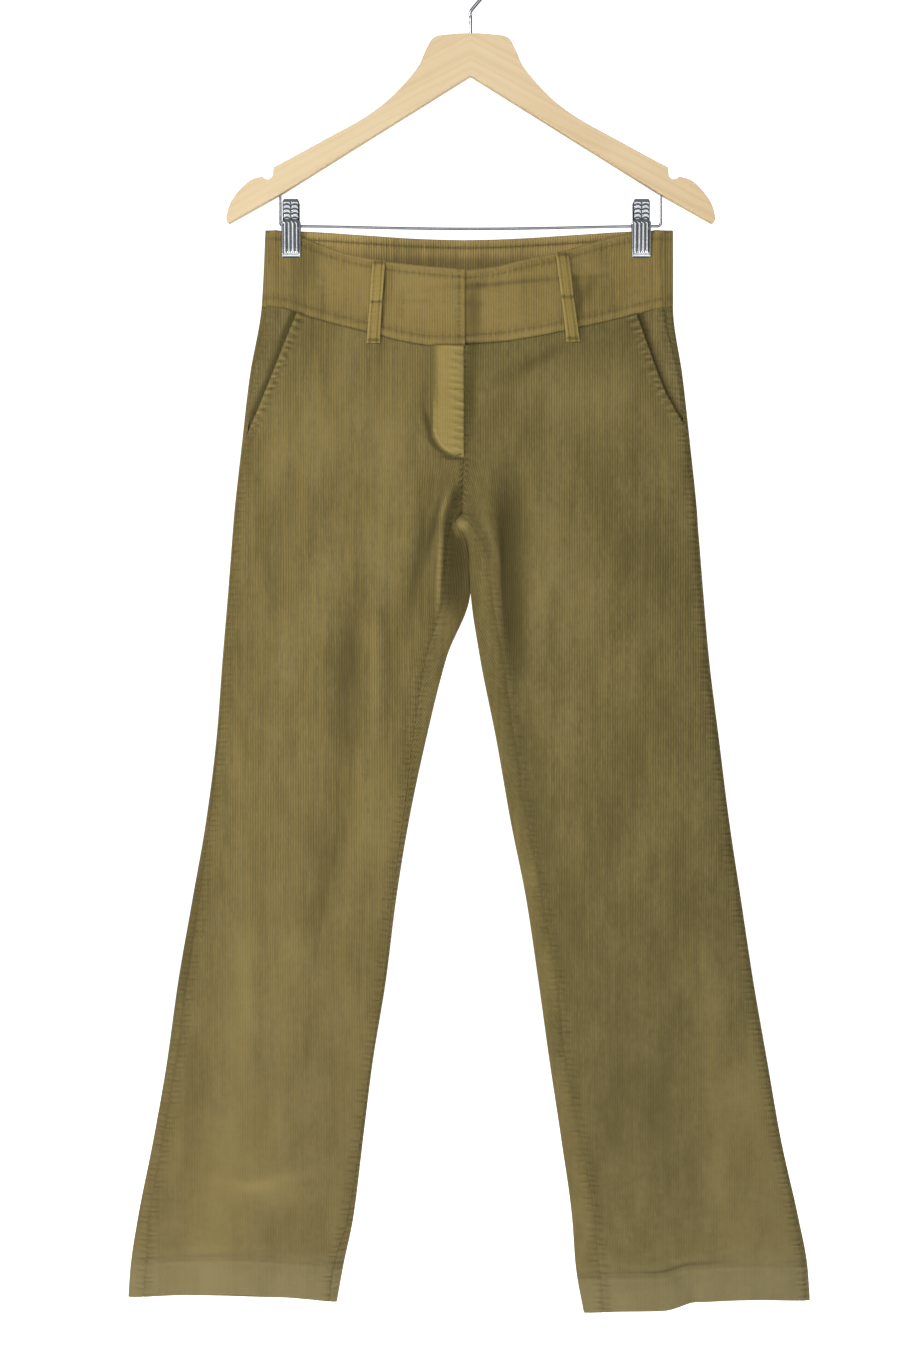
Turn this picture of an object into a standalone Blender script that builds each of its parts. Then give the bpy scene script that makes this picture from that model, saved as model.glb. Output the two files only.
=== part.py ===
"""Corduroy trousers hanging flat from the two clips of a wooden hanger.

The frame: the origin is where the hook rests, at the inside of its top. +Z is up, the front of the
trousers looks along -Y, and the wearer's right side is at -X. Sizes are in millimetres and MM turns
them into metres. A "drop" is a distance straight down from the origin.

The cloth is one surface, skin(), worked out from a table of levels down the trousers. Each panel is
a stretch of that surface with a wall behind it, and what lies on a panel is the same surface moved out.
"""

import math
from functools import lru_cache
from typing import NamedTuple

import bmesh
import bpy
import numpy as np

MM = 0.001

# ---- plain finishes ----
CORD_COLOUR = (0.235, 0.165, 0.045)
BAND_COLOUR = (0.27, 0.18, 0.055)
ZIP_COLOUR = (0.12, 0.09, 0.04)
WOOD_COLOUR = (0.72, 0.50, 0.28)
METAL_COLOUR = (0.72, 0.72, 0.74)
CLOTH_ROUGHNESS = 0.85
ZIP_ROUGHNESS = 0.6
WOOD_ROUGHNESS = 0.45
METAL_ROUGHNESS = 0.2
SHARP_ANGLE = 40.0

# ---- cloth thicknesses and the small gaps at the seams ----
CLOTH = 1.6
HEM_CLOTH = 2.6
BAND_CLOTH = 2.4
LOOP_CLOTH = 1.6
SEAM_GAP = 0.3
SEAM_EASE = 0.3
HEM_HEIGHT = 32.0

# ---- the trousers' own lines ----
CENTRE_X = -6.0
FORK_DROP = 509.0
FRONT_RISE_CURVE = 72.0
SEAT_CURVE = 88.0
SECTION_POWER = 2.2
RIGHT = -1
LEFT = 1

# ---- the pinch at the clips ----
CLIP_X = {RIGHT: -163.5, LEFT: 155.3}
CLIP_HALF_WIDTH = 8.75
CLIP_DROP = 264.0
BAND_MIDDLE_DROP = 300.0
PINCH_HALF = 2.6
PINCH_END = 278.0
PINCH_FADES_BY = 400.0
FRONT_BOW = 22.0
BACK_BOW = 8.0
SIDE_ROLL = 3.2
SIDE_ROLL_REACH = 7.5
SIDE_ROLL_FROM_CLIP = 17.5
FLAT_ROUND_CLIP = 1.2
PINCHED_END_POWER = 12


class Level(NamedTuple):
    """One level down the trousers: edges by x, seams by how far in from the edge they lie."""

    drop: float
    right_edge: float
    right_inner: float
    left_inner: float
    left_edge: float
    right_side_in: float
    right_inseam_in: float
    left_inseam_in: float
    left_side_in: float
    front_depth: float
    back_depth: float


LEVELS = (
    Level(250, -187.0, -6.0, -6.0, 184.5, 4.5, 0.0, 0.0, 11.0, 17.0, 15.0),
    Level(320, -190.5, -6.0, -6.0, 184.5, 4.5, 0.0, 0.0, 8.0, 18.0, 18.0),
    Level(385, -201.5, -6.0, -6.0, 193.3, 4.0, 0.0, 0.0, 3.5, 19.0, 21.0),
    Level(450, -209.0, -6.0, -6.0, 200.5, 2.5, 0.0, 0.0, 3.0, 20.0, 23.0),
    Level(509, -215.5, -8.0, -8.0, 206.5, 2.0, 0.0, 0.0, 2.7, 20.0, 24.0),
    Level(520, -216.4, -5.5, -5.5, 207.2, 2.0, 13.0, 8.0, 2.7, 20.0, 24.0),
    Level(545, -218.3, -1.9, -1.9, 209.2, 2.0, 21.0, 16.0, 2.7, 19.5, 23.0),
    Level(580, -221.0, -0.3, -0.3, 212.0, 2.0, 24.5, 19.0, 2.7, 19.0, 22.0),
    Level(640, -226.0, -21.7, 8.3, 217.2, 2.0, 19.5, 21.0, 2.7, 18.0, 21.0),
    Level(715, -231.8, -40.5, 23.2, 226.4, 2.7, 12.5, 16.8, 2.7, 17.5, 19.5),
    Level(790, -241.3, -56.3, 36.4, 235.8, 4.0, 6.0, 15.5, 2.7, 17.0, 18.5),
    Level(860, -253.5, -67.7, 50.4, 246.3, 7.0, 4.0, 15.0, 2.7, 16.5, 17.5),
    Level(935, -266.5, -77.2, 61.6, 257.6, 9.0, 2.5, 17.0, 2.7, 16.0, 16.5),
    Level(1010, -277.0, -89.3, 72.0, 270.7, 9.0, 2.5, 15.0, 2.7, 15.5, 16.0),
    Level(1080, -289.3, -98.0, 82.5, 283.0, 9.3, 3.0, 18.0, 2.7, 15.5, 15.5),
    Level(1150, -303.2, -106.7, 92.2, 298.6, 11.0, 5.5, 20.0, 3.0, 15.5, 15.5),
    Level(1195, -310.0, -116.0, 95.6, 307.0, 14.6, 9.0, 21.5, 3.6, 15.5, 15.0),
    Level(1240, -313.0, -124.0, 103.5, 310.0, 14.6, 6.0, 18.0, 3.6, 15.0, 14.5),
)


class WaistLine(NamedTuple):
    """Drops of the band's edges, at a share of the way from the centre to the side."""

    across: float
    right_top: float
    left_top: float
    back_top: float
    right_seam: float
    left_seam: float
    back_seam: float


WAIST_LINES = (
    WaistLine(0.00, 290.0, 290.5, 259.5, 358.5, 357.0, 329.0),
    WaistLine(0.15, 287.5, 287.3, 259.0, 358.0, 355.0, 328.5),
    WaistLine(0.30, 284.3, 279.8, 258.0, 353.5, 350.5, 327.5),
    WaistLine(0.45, 279.5, 273.0, 256.5, 346.0, 345.0, 326.0),
    WaistLine(0.60, 273.0, 264.5, 255.0, 339.0, 338.5, 324.5),
    WaistLine(0.75, 263.0, 256.5, 253.5, 331.0, 331.5, 323.0),
    WaistLine(0.90, 253.0, 252.5, 252.5, 322.0, 324.0, 321.5),
    WaistLine(1.00, 252.0, 252.0, 252.0, 320.5, 320.5, 320.5),
)


class HemLine(NamedTuple):
    """Drops of the hem's edge, at a share of the way from the inseam side to the outer side."""

    across: float
    right_front: float
    left_front: float
    right_back: float
    left_back: float


HEM_LINES = (
    HemLine(0.00, 1227.0, 1237.0, 1227.0, 1237.0),
    HemLine(0.15, 1223.0, 1234.5, 1226.3, 1235.0),
    HemLine(0.35, 1219.5, 1233.0, 1225.4, 1233.0),
    HemLine(0.50, 1218.0, 1225.5, 1224.7, 1230.5),
    HemLine(0.75, 1219.0, 1223.5, 1223.6, 1227.5),
    HemLine(1.00, 1222.5, 1225.5, 1222.5, 1225.5),
)


class PocketEdge(NamedTuple):
    """The slanted pocket edge, by x at a drop."""

    drop: float
    right_x: float
    left_x: float


POCKET_EDGES = (
    PocketEdge(322, -156.5, 149.0),
    PocketEdge(354, -169.2, 160.0),
    PocketEdge(377, -178.0, 168.0),
    PocketEdge(398, -186.5, 176.3),
    PocketEdge(416, -194.0, 186.3),
    PocketEdge(433, -201.5, 195.8),
    PocketEdge(446, -206.2, 197.6),
)
POCKET_FOOT = {RIGHT: 446.0, LEFT: 438.0}
FACING_FOOT = 434.0
FACING_TUCK = 12.0
FACING_BEHIND = CLOTH + 1.2
FACING_NARROW = 9.0


class Fold(NamedTuple):
    """A soft ridge (height above 0) or trough (below 0) in the cloth, from one place to another."""

    face: str
    start_x: float
    start_drop: float
    end_x: float
    end_drop: float
    width: float
    height: float


FOLDS = (
    Fold("front", -33, 480, -56, 600, 9, -4.0),
    Fold("front", -56, 600, -78, 735, 12, -3.0),
    Fold("front", -46, 470, -62, 545, 10, 2.4),
    Fold("front", -23, 490, -27, 570, 8, 2.4),
    Fold("front", -88, 600, -86, 720, 13, 3.0),
    Fold("front", -107, 600, -120, 800, 14, -3.6),
    Fold("front", -120, 800, -139, 912, 12, -3.6),
    Fold("front", -146, 650, -178, 770, 12, -1.8),
    Fold("front", -150, 800, -165, 960, 20, 1.8),
    Fold("front", -112, 930, -128, 1090, 16, -1.6),
    Fold("front", 18, 490, 30, 625, 9, 3.0),
    Fold("front", 41, 476, 40, 640, 12, -4.0),
    Fold("front", 30, 625, 38, 690, 10, 2.0),
    Fold("front", 82, 352, 34, 386, 12, -1.6),
    Fold("front", 120, 560, 150, 760, 20, -1.6),
    Fold("front", 150, 800, 178, 1000, 18, 1.6),
    Fold("front", 190, 1195, 204, 1232, 9, -3.0),
    Fold("back", -30, 470, -70, 620, 12, -3.6),
    Fold("back", 22, 472, 60, 610, 12, -3.2),
    Fold("back", -60, 430, -110, 520, 16, -2.4),
    Fold("back", 58, 436, 100, 512, 16, -2.4),
    Fold("back", -150, 620, -168, 860, 18, -2.6),
    Fold("back", 110, 600, 132, 800, 18, -2.4),
    Fold("back", -120, 860, -150, 1080, 18, 2.0),
    Fold("back", 160, 820, 196, 1060, 18, 2.0),
)
FOLD_FADE = 0.2

# ---- how finely the panels are divided: (drop at the end of a run, rows in that run) ----
FRONT_ROWS = ((440, 5), (FORK_DROP, 6), (520, 3), (582, 4), (1190, 13), (1222, 1))
BACK_ROWS = ((420, 4), (FORK_DROP, 7), (520, 3), (582, 4), (1190, 13), (1222, 1))
PANEL_COLUMNS = 14
COLUMNS_CROWD_EDGE = 0.4
COLUMNS_YIELD_TO_INSEAM = 6
WRAP_COLUMNS = 2
WRAP_TAIL = 0.1
BAND_COLUMNS = 20
TOP_FADES_BY = 440.0
HEM_TAKES_FROM = 1000.0

# ---- fly, loops and zip ----
FLY_WIDTH = 30.0
FLY_TOP = 360.0
FLY_STRAIGHT_TO = 432.0
FLY_FOOT = 460.0
FLY_THICKNESS = 1.3
FLY_FROM_CENTRE = 0.2
FLY_LAST_TURN = 80.0
ZIP_HALF_WIDTH = 13.0
ZIP_THICKNESS = 1.2
ZIP_TOP = 366.0
ZIP_FOOT = 448.0
UNDERLAP = 30.0
UNDERLAP_BLENDS_BY = 40.0
LOOP_WIDTH = 11.0


class Loop(NamedTuple):
    """A belt loop: where its middle line starts and ends, and the face that it lies on."""

    name: str
    face: str
    top_x: float
    top_drop: float
    foot_x: float
    foot_drop: float
    tack_drop: float


LOOPS = (
    Loop("belt_loop_front_right", "front", -83.4, 281.0, -88.4, 355.0, 318.0),
    Loop("belt_loop_front_left", "front", 82.9, 273.0, 92.9, 353.6, 313.0),
    Loop("belt_loop_back_right", "back", -101.0, 257.0, -101.0, 334.0, 0.0),
    Loop("belt_loop_back_centre", "back", -6.0, 260.0, -6.0, 338.0, 0.0),
    Loop("belt_loop_back_left", "back", 91.0, 257.0, 91.0, 334.0, 0.0),
)
LOOP_STANDS_OFF = 1.8

# ---- hanger ----
HOOK_WIRE = 3.2
HOOK_RADIUS = 21.0
HOOK_CENTRE_DROP = HOOK_RADIUS - HOOK_WIRE / 2
HOOK_TURN_FROM = -38.0
HOOK_TURN_TO = 205.0
HOOK_TURN_STEPS = 22
HOOK_STEM = ((0.0, 109.0), (0.0, 80.0))
HOOK_SWEEP = ((0.0, 58.0), (0.0, 52.0), (6.5, 43.5))
ROUND_SEGMENTS = 16
WOOD_THICKNESS = 13.0
WOOD_EDGE_ROUND = 2.2
BORE_CLEARANCE = 0.3
BAR_WIRE = 2.4
BAR_HALF_SPAN = 173.4
BAR_TOP = 207.0
BAR_DROP = 247.3
BAR_SAG = 2.4
BAR_BEND = 3.2
BAR_SOCKET_TOP = 206.5
NOTCH_X = 185.0
NOTCH_DROP = 200.5
NOTCH_RADIUS = 5.0


class EdgePoint(NamedTuple):
    """A point on the hanger's outline, by its distance from the middle and its drop."""

    across: float
    drop: float


NECK_AND_ARM = (
    EdgePoint(0.0, 72.5),
    EdgePoint(17.0, 73.4),
    EdgePoint(33.3, 76.3),
    EdgePoint(41.0, 88.2),
    EdgePoint(47.4, 102.2),
    EdgePoint(59.9, 118.0),
    EdgePoint(77.2, 135.2),
    EdgePoint(99.1, 150.9),
    EdgePoint(130.5, 168.2),
    EdgePoint(161.9, 185.4),
    EdgePoint(179.4, 194.6),
)
ARM_END = (
    EdgePoint(191.0, 203.4),
    EdgePoint(199.5, 205.8),
    EdgePoint(208.9, 213.7),
    EdgePoint(218.3, 226.2),
    EdgePoint(222.4, 240.3),
    EdgePoint(220.0, 245.0),
)
UNDERSIDE = (
    EdgePoint(169.7, 216.8),
    EdgePoint(60.0, 148.2),
    EdgePoint(0.0, 110.7),
)


class JawStation(NamedTuple):
    """One height of a clip's jaw: how far its outer face stands from the cloth's middle."""

    drop: float
    out: float
    half_width: float


JAW = (
    JawStation(224.0, 10.6, 6.4),
    JawStation(226.0, 10.4, 7.5),
    JawStation(236.0, 8.6, 7.5),
    JawStation(243.0, 7.4, 7.5),
    JawStation(244.5, 7.2, 8.75),
    JawStation(258.0, 5.4, 8.75),
    JawStation(268.0, 4.2, 8.75),
    JawStation(274.0, 3.95, 8.75),
    JawStation(276.0, 3.95, 8.0),
)
JAW_THICKNESS = 1.0
EAR_THICKNESS = 0.9
EAR_RADIUS = 3.4
FRONT_EAR_X = 6.7
BACK_EAR_X = 5.4
SPRING_RADIUS = 3.2
SPRING_LENGTH = 9.0


# ---------------------------------------------------------------- reading the tables

@lru_cache(maxsize=None)
def column_of(rows, column):
    """Keys, values and slopes of one column, the slopes chosen so that the curve never overshoots."""
    keys = np.array([row[0] for row in rows], dtype=float)
    values = np.array([getattr(row, column) for row in rows], dtype=float)
    chords = np.diff(values) / np.diff(keys)
    slopes = np.zeros(len(keys))
    slopes[0] = chords[0]
    slopes[-1] = chords[-1]
    for i in range(1, len(keys) - 1):
        if chords[i - 1] * chords[i] > 0:
            slopes[i] = 2 * chords[i - 1] * chords[i] / (chords[i - 1] + chords[i])
    return keys, values, slopes


def read(rows, column, at):
    """A table's column at any place, on a smooth curve through its rows."""
    keys, values, slopes = column_of(rows, column)
    at = min(max(at, keys[0]), keys[-1])
    i = min(max(int(np.searchsorted(keys, at)) - 1, 0), len(keys) - 2)
    step = keys[i + 1] - keys[i]
    u = (at - keys[i]) / step
    return (
        values[i] * (2 * u**3 - 3 * u**2 + 1)
        + slopes[i] * step * (u**3 - 2 * u**2 + u)
        + values[i + 1] * (3 * u**2 - 2 * u**3)
        + slopes[i + 1] * step * (u**3 - u**2)
    )


def side_name(side):
    """The wearer's side as it is written in the tables."""
    return "right" if side == RIGHT else "left"


def smooth_step(low, high, at):
    """0 below low, 1 above high, and a soft ramp between."""
    u = min(max((at - low) / (high - low), 0.0), 1.0)
    return u * u * (3 - 2 * u)


# ---------------------------------------------------------------- the surface of the cloth

def openness(face, drop):
    """1 where the two halves are joined in the middle, falling to 0 at the fork of the legs."""
    curve = FRONT_RISE_CURVE if face == "front" else SEAT_CURVE
    u = min(max((drop - FORK_DROP + curve) / curve, 0.0), 1.0)
    return math.sqrt(1 - u * u)


def pinched_depth(face, x, drop):
    """Depth of the cloth where the clips hold it: thin at each clip, bowed between, rolled outside."""
    side = RIGHT if x < CENTRE_X else LEFT
    clip = CLIP_X[side]
    reach = abs(clip - side * (CLIP_HALF_WIDTH + FLAT_ROUND_CLIP) - CENTRE_X)
    u = min(abs(x - CENTRE_X) / reach, 1.0)
    bow = FRONT_BOW if face == "front" else BACK_BOW
    roll_at = clip + side * SIDE_ROLL_FROM_CLIP
    v = min(abs(x - roll_at) / SIDE_ROLL_REACH, 1.0)
    return PINCH_HALF + bow * (1 - u * u) ** 2 + SIDE_ROLL * (1 - v * v) ** 2


def fold_height(face, x, drop):
    """Sum of the ridges and troughs at one place."""
    total = 0.0
    for fold in FOLDS:
        if fold.face != face:
            continue
        along_x = fold.end_x - fold.start_x
        along_drop = fold.end_drop - fold.start_drop
        length = math.hypot(along_x, along_drop)
        u = ((x - fold.start_x) * along_x + (drop - fold.start_drop) * along_drop) / length**2
        off = abs((x - fold.start_x) * along_drop - (drop - fold.start_drop) * along_x) / length
        fade = smooth_step(-FOLD_FADE, FOLD_FADE, u) * smooth_step(-FOLD_FADE, FOLD_FADE, 1 - u)
        total += fold.height * fade * math.exp(-((off / fold.width) ** 2))
    return total


def section_ends(side, drop, face, inset):
    """x of the inner end and of the outer edge of one half's section, with the openness there."""
    name = side_name(side)
    opened = openness(face, drop + inset)
    inner = read(LEVELS, name + "_inner", drop) + side * (inset * (1 - opened) + SEAM_GAP / 2)
    outer = read(LEVELS, name + "_edge", drop) - side * inset
    return inner, outer, opened


def surface_point(side, face, drop, x, inset=0.0):
    """The point of one half's front or back surface at x, moved in by inset."""
    inner, outer, opened = section_ends(side, drop, face, inset)
    t = min(max(1 - 2 * (x - inner) / (outer - inner), -1.0), 1.0)
    closing = (1 - abs(t) ** SECTION_POWER) ** (1 / SECTION_POWER)
    rounding = opened + (1 - opened) * closing if t > 0 else closing
    deep = read(LEVELS, face + "_depth", drop) - inset
    pinch = 1 - smooth_step(PINCH_END, PINCH_FADES_BY, drop)
    if pinch > 0:
        end = math.sqrt(1 - abs(t) ** PINCHED_END_POWER) if t < 0 else 1.0
        thin = (pinched_depth(face, x, drop) - inset) * end
        depth = pinch * thin + (1 - pinch) * deep * rounding
    else:
        depth = deep * rounding
    edge_fade = 1 - abs(t) ** 6 if t < 0 else 1 - (1 - opened) * t**6
    depth += fold_height(face, x, drop) * edge_fade
    return (x, -depth if face == "front" else depth, -drop)


def face_of(s):
    """The face that a place round one half is on."""
    return "back" if 1 < s <= 2 else "front"


def skin(side, drop, s, inset=0.0):
    """The cloth's surface round one half: s is 0 at the inner end in front, 1 at the outer edge, 2 behind."""
    face = face_of(s)
    inner, outer, _ = section_ends(side, drop, face, inset)
    share = (1 - math.cos(math.pi * s)) / 2
    return surface_point(side, face, drop, inner + (outer - inner) * share, inset)


def place_of(side, drop, x):
    """s of the front surface at x."""
    inner, outer, _ = section_ends(side, drop, "front", 0.0)
    share = min(max((x - inner) / (outer - inner), 0.0), 1.0)
    return math.acos(1 - 2 * share) / math.pi


def side_seam(side, drop):
    """s of the side seam, a little in from the outer edge, in front."""
    edge = read(LEVELS, side_name(side) + "_edge", drop)
    return place_of(side, drop, edge - side * read(LEVELS, side_name(side) + "_side_in", drop))


def inner_seam(side, drop):
    """s of the inseam below the fork, and of the middle seam above it."""
    if drop <= FORK_DROP:
        return 0.0
    edge = read(LEVELS, side_name(side) + "_inner", drop)
    return place_of(side, drop, edge + side * read(LEVELS, side_name(side) + "_inseam_in", drop))


def pocket_edge(side, drop):
    """s of the front panel's outer edge: the slanted pocket edge, and the side seam below it."""
    if drop >= POCKET_FOOT[side]:
        return side_seam(side, drop)
    x = read(POCKET_EDGES, side_name(side) + "_x", drop)
    return min(place_of(side, drop, x), side_seam(side, drop))


def face_point(face, x, drop, inset=0.0):
    """A point above the fork by x, on whichever half it falls."""
    side = RIGHT if x < CENTRE_X else LEFT
    return surface_point(side, face, drop, x, inset)


# ---------------------------------------------------------------- building solids

def plain_finish(name, colour, roughness, metallic):
    """A plain material of one colour."""
    material = bpy.data.materials.new(name + "_finish")
    material.use_nodes = True
    shader = material.node_tree.nodes["Principled BSDF"]
    shader.inputs["Base Color"].default_value = (*colour, 1.0)
    shader.inputs["Roughness"].default_value = roughness
    shader.inputs["Metallic"].default_value = metallic
    return material


def finish_object(name, mesh, colour, roughness, metallic=0.0):
    """Wrap a mesh as a named object with its own plain material."""
    mesh.materials.append(plain_finish(name, colour, roughness, metallic))
    mesh.shade_smooth()
    mesh.set_sharp_from_angle(angle=math.radians(SHARP_ANGLE))
    piece = bpy.data.objects.new(name, mesh)
    bpy.context.scene.collection.objects.link(piece)
    return piece


def helper_object(name, mesh):
    """Wrap a mesh as a helper, which only cuts or joins."""
    helper = bpy.data.objects.new(name, mesh)
    bpy.context.scene.collection.objects.link(helper)
    helper.hide_render = True
    helper.display_type = "WIRE"
    return helper


def pulled_in(grid, distance):
    """The grid with its four borders drawn in along the surface, which leaves a gap at each seam."""
    grid = np.array(grid, dtype=float)
    for axis in (0, 1):
        lines = np.moveaxis(grid, axis, 0)
        for edge, inside in ((0, 1), (-1, -2)):
            step = lines[inside] - lines[edge]
            length = np.linalg.norm(step, axis=1, keepdims=True)
            lines[edge] += step * (distance / np.maximum(length, distance * 2))
    return grid


def walled_sheet(name, outer, inner, colour, roughness=CLOTH_ROUGHNESS, metallic=0.0, gap=SEAM_GAP / 2):
    """A closed wall between an outer and an inner grid of points."""
    outer = pulled_in(outer, gap) * MM
    inner = pulled_in(inner, gap) * MM
    rows, columns = outer.shape[:2]
    grid_mesh = bmesh.new()
    fronts = [[grid_mesh.verts.new(outer[r, c]) for c in range(columns)] for r in range(rows)]
    backs = [[grid_mesh.verts.new(inner[r, c]) for c in range(columns)] for r in range(rows)]
    for layer in (fronts, backs):
        for r in range(rows - 1):
            for c in range(columns - 1):
                near, far = layer[r], layer[r + 1]
                grid_mesh.faces.new((near[c], far[c], far[c + 1]))
                grid_mesh.faces.new((near[c], far[c + 1], near[c + 1]))
    rim_front = border_of(fronts)
    rim_back = border_of(backs)
    for i, corner in enumerate(rim_front):
        after = (i + 1) % len(rim_front)
        grid_mesh.faces.new((corner, rim_front[after], rim_back[after]))
        grid_mesh.faces.new((corner, rim_back[after], rim_back[i]))
    bmesh.ops.recalc_face_normals(grid_mesh, faces=grid_mesh.faces)
    mesh = bpy.data.meshes.new(name)
    grid_mesh.to_mesh(mesh)
    grid_mesh.free()
    return finish_object(name, mesh, colour, roughness, metallic)


def border_of(layer):
    """The corners round a grid, in order."""
    top = layer[0]
    right = [row[-1] for row in layer[1:]]
    foot = layer[-1][-2::-1]
    left = [row[0] for row in layer[-2:0:-1]]
    return top + right + foot + left


def rows_down(runs, start):
    """Drops of a panel's rows, from its top through each run."""
    drops = [start]
    for end, count in runs:
        first = drops[-1]
        drops += [first + (end - first) * (i + 1) / count for i in range(count)]
    return drops


def cloth_at(drop, hem_drop):
    """Thickness of the cloth, doubled over in the hem."""
    return HEM_CLOTH if drop > hem_drop - HEM_HEIGHT - 1 else CLOTH


def line_drop(side, s, kind):
    """Drop of the band's top, the waist seam or the hem at a place round one half."""
    across = (1 - math.cos(math.pi * s)) / 2
    face = face_of(s)
    if kind == "hem":
        return read(HEM_LINES, side_name(side) + "_" + face, across)
    column = (side_name(side) if face == "front" else "back") + "_" + kind
    return read(WAIST_LINES, column, across)


def panel_drop(side, row_drop, s, top, foot):
    """A row's drop at s: the top row follows the waist seam and the last one the hem."""
    bend = 1 - smooth_step(top, TOP_FADES_BY, row_drop)
    drop = row_drop + bend * (line_drop(side, s, "seam") + SEAM_EASE - top)
    give = smooth_step(HEM_TAKES_FROM, foot, row_drop)
    return drop + give * (line_drop(side, s, "hem") - foot)


def settled(edge, side, row_drop, top, foot):
    """The place of a panel's edge on a bent row, whose drop depends on that place in turn."""
    s = edge(side, row_drop)
    for _ in range(8):
        s = edge(side, panel_drop(side, row_drop, s, top, foot))
    return s


def back_end(side, drop):
    """s of the back panel's far edge: the seat seam, and the inseam below the fork."""
    return 2.0 + inner_seam(side, drop)


def column_place(side, front, drop, share, first, last):
    """s of a column. In front only those near the inseam give way to it. Behind, one is on the silhouette."""
    if not front:
        wrapped = last - 2.0
        silhouette = 2.0 - WRAP_TAIL * (1 - min(wrapped / WRAP_TAIL, 1.0))
        wrap_from = 1 - WRAP_COLUMNS / PANEL_COLUMNS
        if share <= wrap_from:
            return first + (silhouette - first) * share / wrap_from
        return silhouette + (last - silhouette) * (share - wrap_from) / (1 - wrap_from)
    inner, outer, _ = section_ends(side, drop, "front", 0.0)
    first_in = (1 - math.cos(math.pi * first)) / 2
    last_in = (1 - math.cos(math.pi * last)) / 2
    crowded = (1 - COLUMNS_CROWD_EDGE) * share + COLUMNS_CROWD_EDGE * math.sin(math.pi / 2 * share)
    across = last_in * crowded + first_in * (1 - share) ** COLUMNS_YIELD_TO_INSEAM
    return place_of(side, drop, inner + (outer - inner) * across)


def leg_panel(side, face, colour):
    """A front or back leg panel, from the waist seam to the hem."""
    front = face == "front"
    runs = FRONT_ROWS if front else BACK_ROWS
    first_edge, last_edge = (inner_seam, pocket_edge) if front else (side_seam, back_end)
    top = line_drop(side, 0.0 if front else 2.0, "seam")
    foot = runs[-1][0]
    outer, inner = [], []
    for row_drop in rows_down(runs, top):
        first = settled(first_edge, side, row_drop, top, foot)
        last = settled(last_edge, side, row_drop, top, foot)
        outer_row, inner_row = [], []
        for c in range(PANEL_COLUMNS + 1):
            s = column_place(side, front, row_drop, c / PANEL_COLUMNS, first, last)
            drop = panel_drop(side, row_drop, s, top, foot)
            outer_row.append(skin(side, drop, s))
            inner_row.append(skin(side, drop, s, cloth_at(drop, line_drop(side, s, "hem"))))
        outer.append(outer_row)
        inner.append(inner_row)
    return walled_sheet(face + "_" + side_name(side), outer, inner, colour)


def band_rows(side, s, count=3):
    """Drops down the waistband at s."""
    top = line_drop(side, s, "top")
    seam = line_drop(side, s, "seam")
    return [top + (seam - top) * i / count for i in range(count + 1)]


def band_stops(side, first, last, columns):
    """Places round one half of the band, with three across the clip, where it is nipped flat."""
    flat = CLIP_HALF_WIDTH + FLAT_ROUND_CLIP
    nipped = [place_of(side, CLIP_DROP, CLIP_X[side] + side * flat * hand) for hand in (-1, 0, 1)]
    if last > 1:
        nipped = [2 - s for s in reversed(nipped)]
    clear = 0.25 * abs(last - first) / columns
    even = [first + (last - first) * c / columns for c in range(columns + 1)]
    kept = [s for s in even if s < nipped[0] - clear or s > nipped[2] + clear]
    return sorted(kept + nipped)


def front_band(side, colour):
    """Half of the front waistband. The left half runs on behind the right one."""
    stops = band_stops(side, 0.0, side_seam(side, BAND_MIDDLE_DROP), BAND_COLUMNS)
    grid_outer, grid_inner = [], []
    for s in stops:
        line_outer, line_inner = [], []
        for drop in band_rows(side, s):
            inset = band_inset(side, skin(side, drop, s)[0])
            line_outer.append(skin(side, drop, s, inset))
            line_inner.append(skin(side, drop, s, inset + BAND_CLOTH))
        grid_outer.append(line_outer)
        grid_inner.append(line_inner)
    if side == LEFT:
        behind = BAND_CLOTH + SEAM_GAP
        for share in (0.5, 1.0):
            x = CENTRE_X - UNDERLAP * share
            s = place_of(RIGHT, BAND_MIDDLE_DROP, x)
            drops = band_rows(RIGHT, s)
            grid_outer.insert(0, [surface_point(RIGHT, "front", d, x, behind) for d in drops])
            grid_inner.insert(0, [surface_point(RIGHT, "front", d, x, behind + BAND_CLOTH) for d in drops])
    return walled_sheet("waistband_front_" + side_name(side), grid_outer, grid_inner, colour)


def band_inset(side, x):
    """How far the left band sinks towards the middle, to pass behind the right one."""
    if side == RIGHT:
        return 0.0
    return (BAND_CLOTH + SEAM_GAP) * (1 - smooth_step(CENTRE_X, UNDERLAP_BLENDS_BY, x))


def back_band(colour):
    """The waistband across the back, from side seam to side seam."""
    grid_outer, grid_inner = [], []
    for side in (RIGHT, LEFT):
        stops = band_stops(side, side_seam(side, BAND_MIDDLE_DROP), 2.0, BAND_COLUMNS)
        if side == LEFT:
            stops = stops[-2::-1]
        for s in stops:
            drops = band_rows(side, s)
            grid_outer.append([skin(side, d, s) for d in drops])
            grid_inner.append([skin(side, d, s, BAND_CLOTH) for d in drops])
    return walled_sheet("waistband_back", grid_outer, grid_inner, colour)


def tucked_edge(side, drop):
    """s of the facing's inner edge, which is tucked under the front panel."""
    edge_x = skin(side, drop, pocket_edge(side, drop))[0]
    return place_of(side, drop, edge_x - side * FACING_TUCK)


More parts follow.
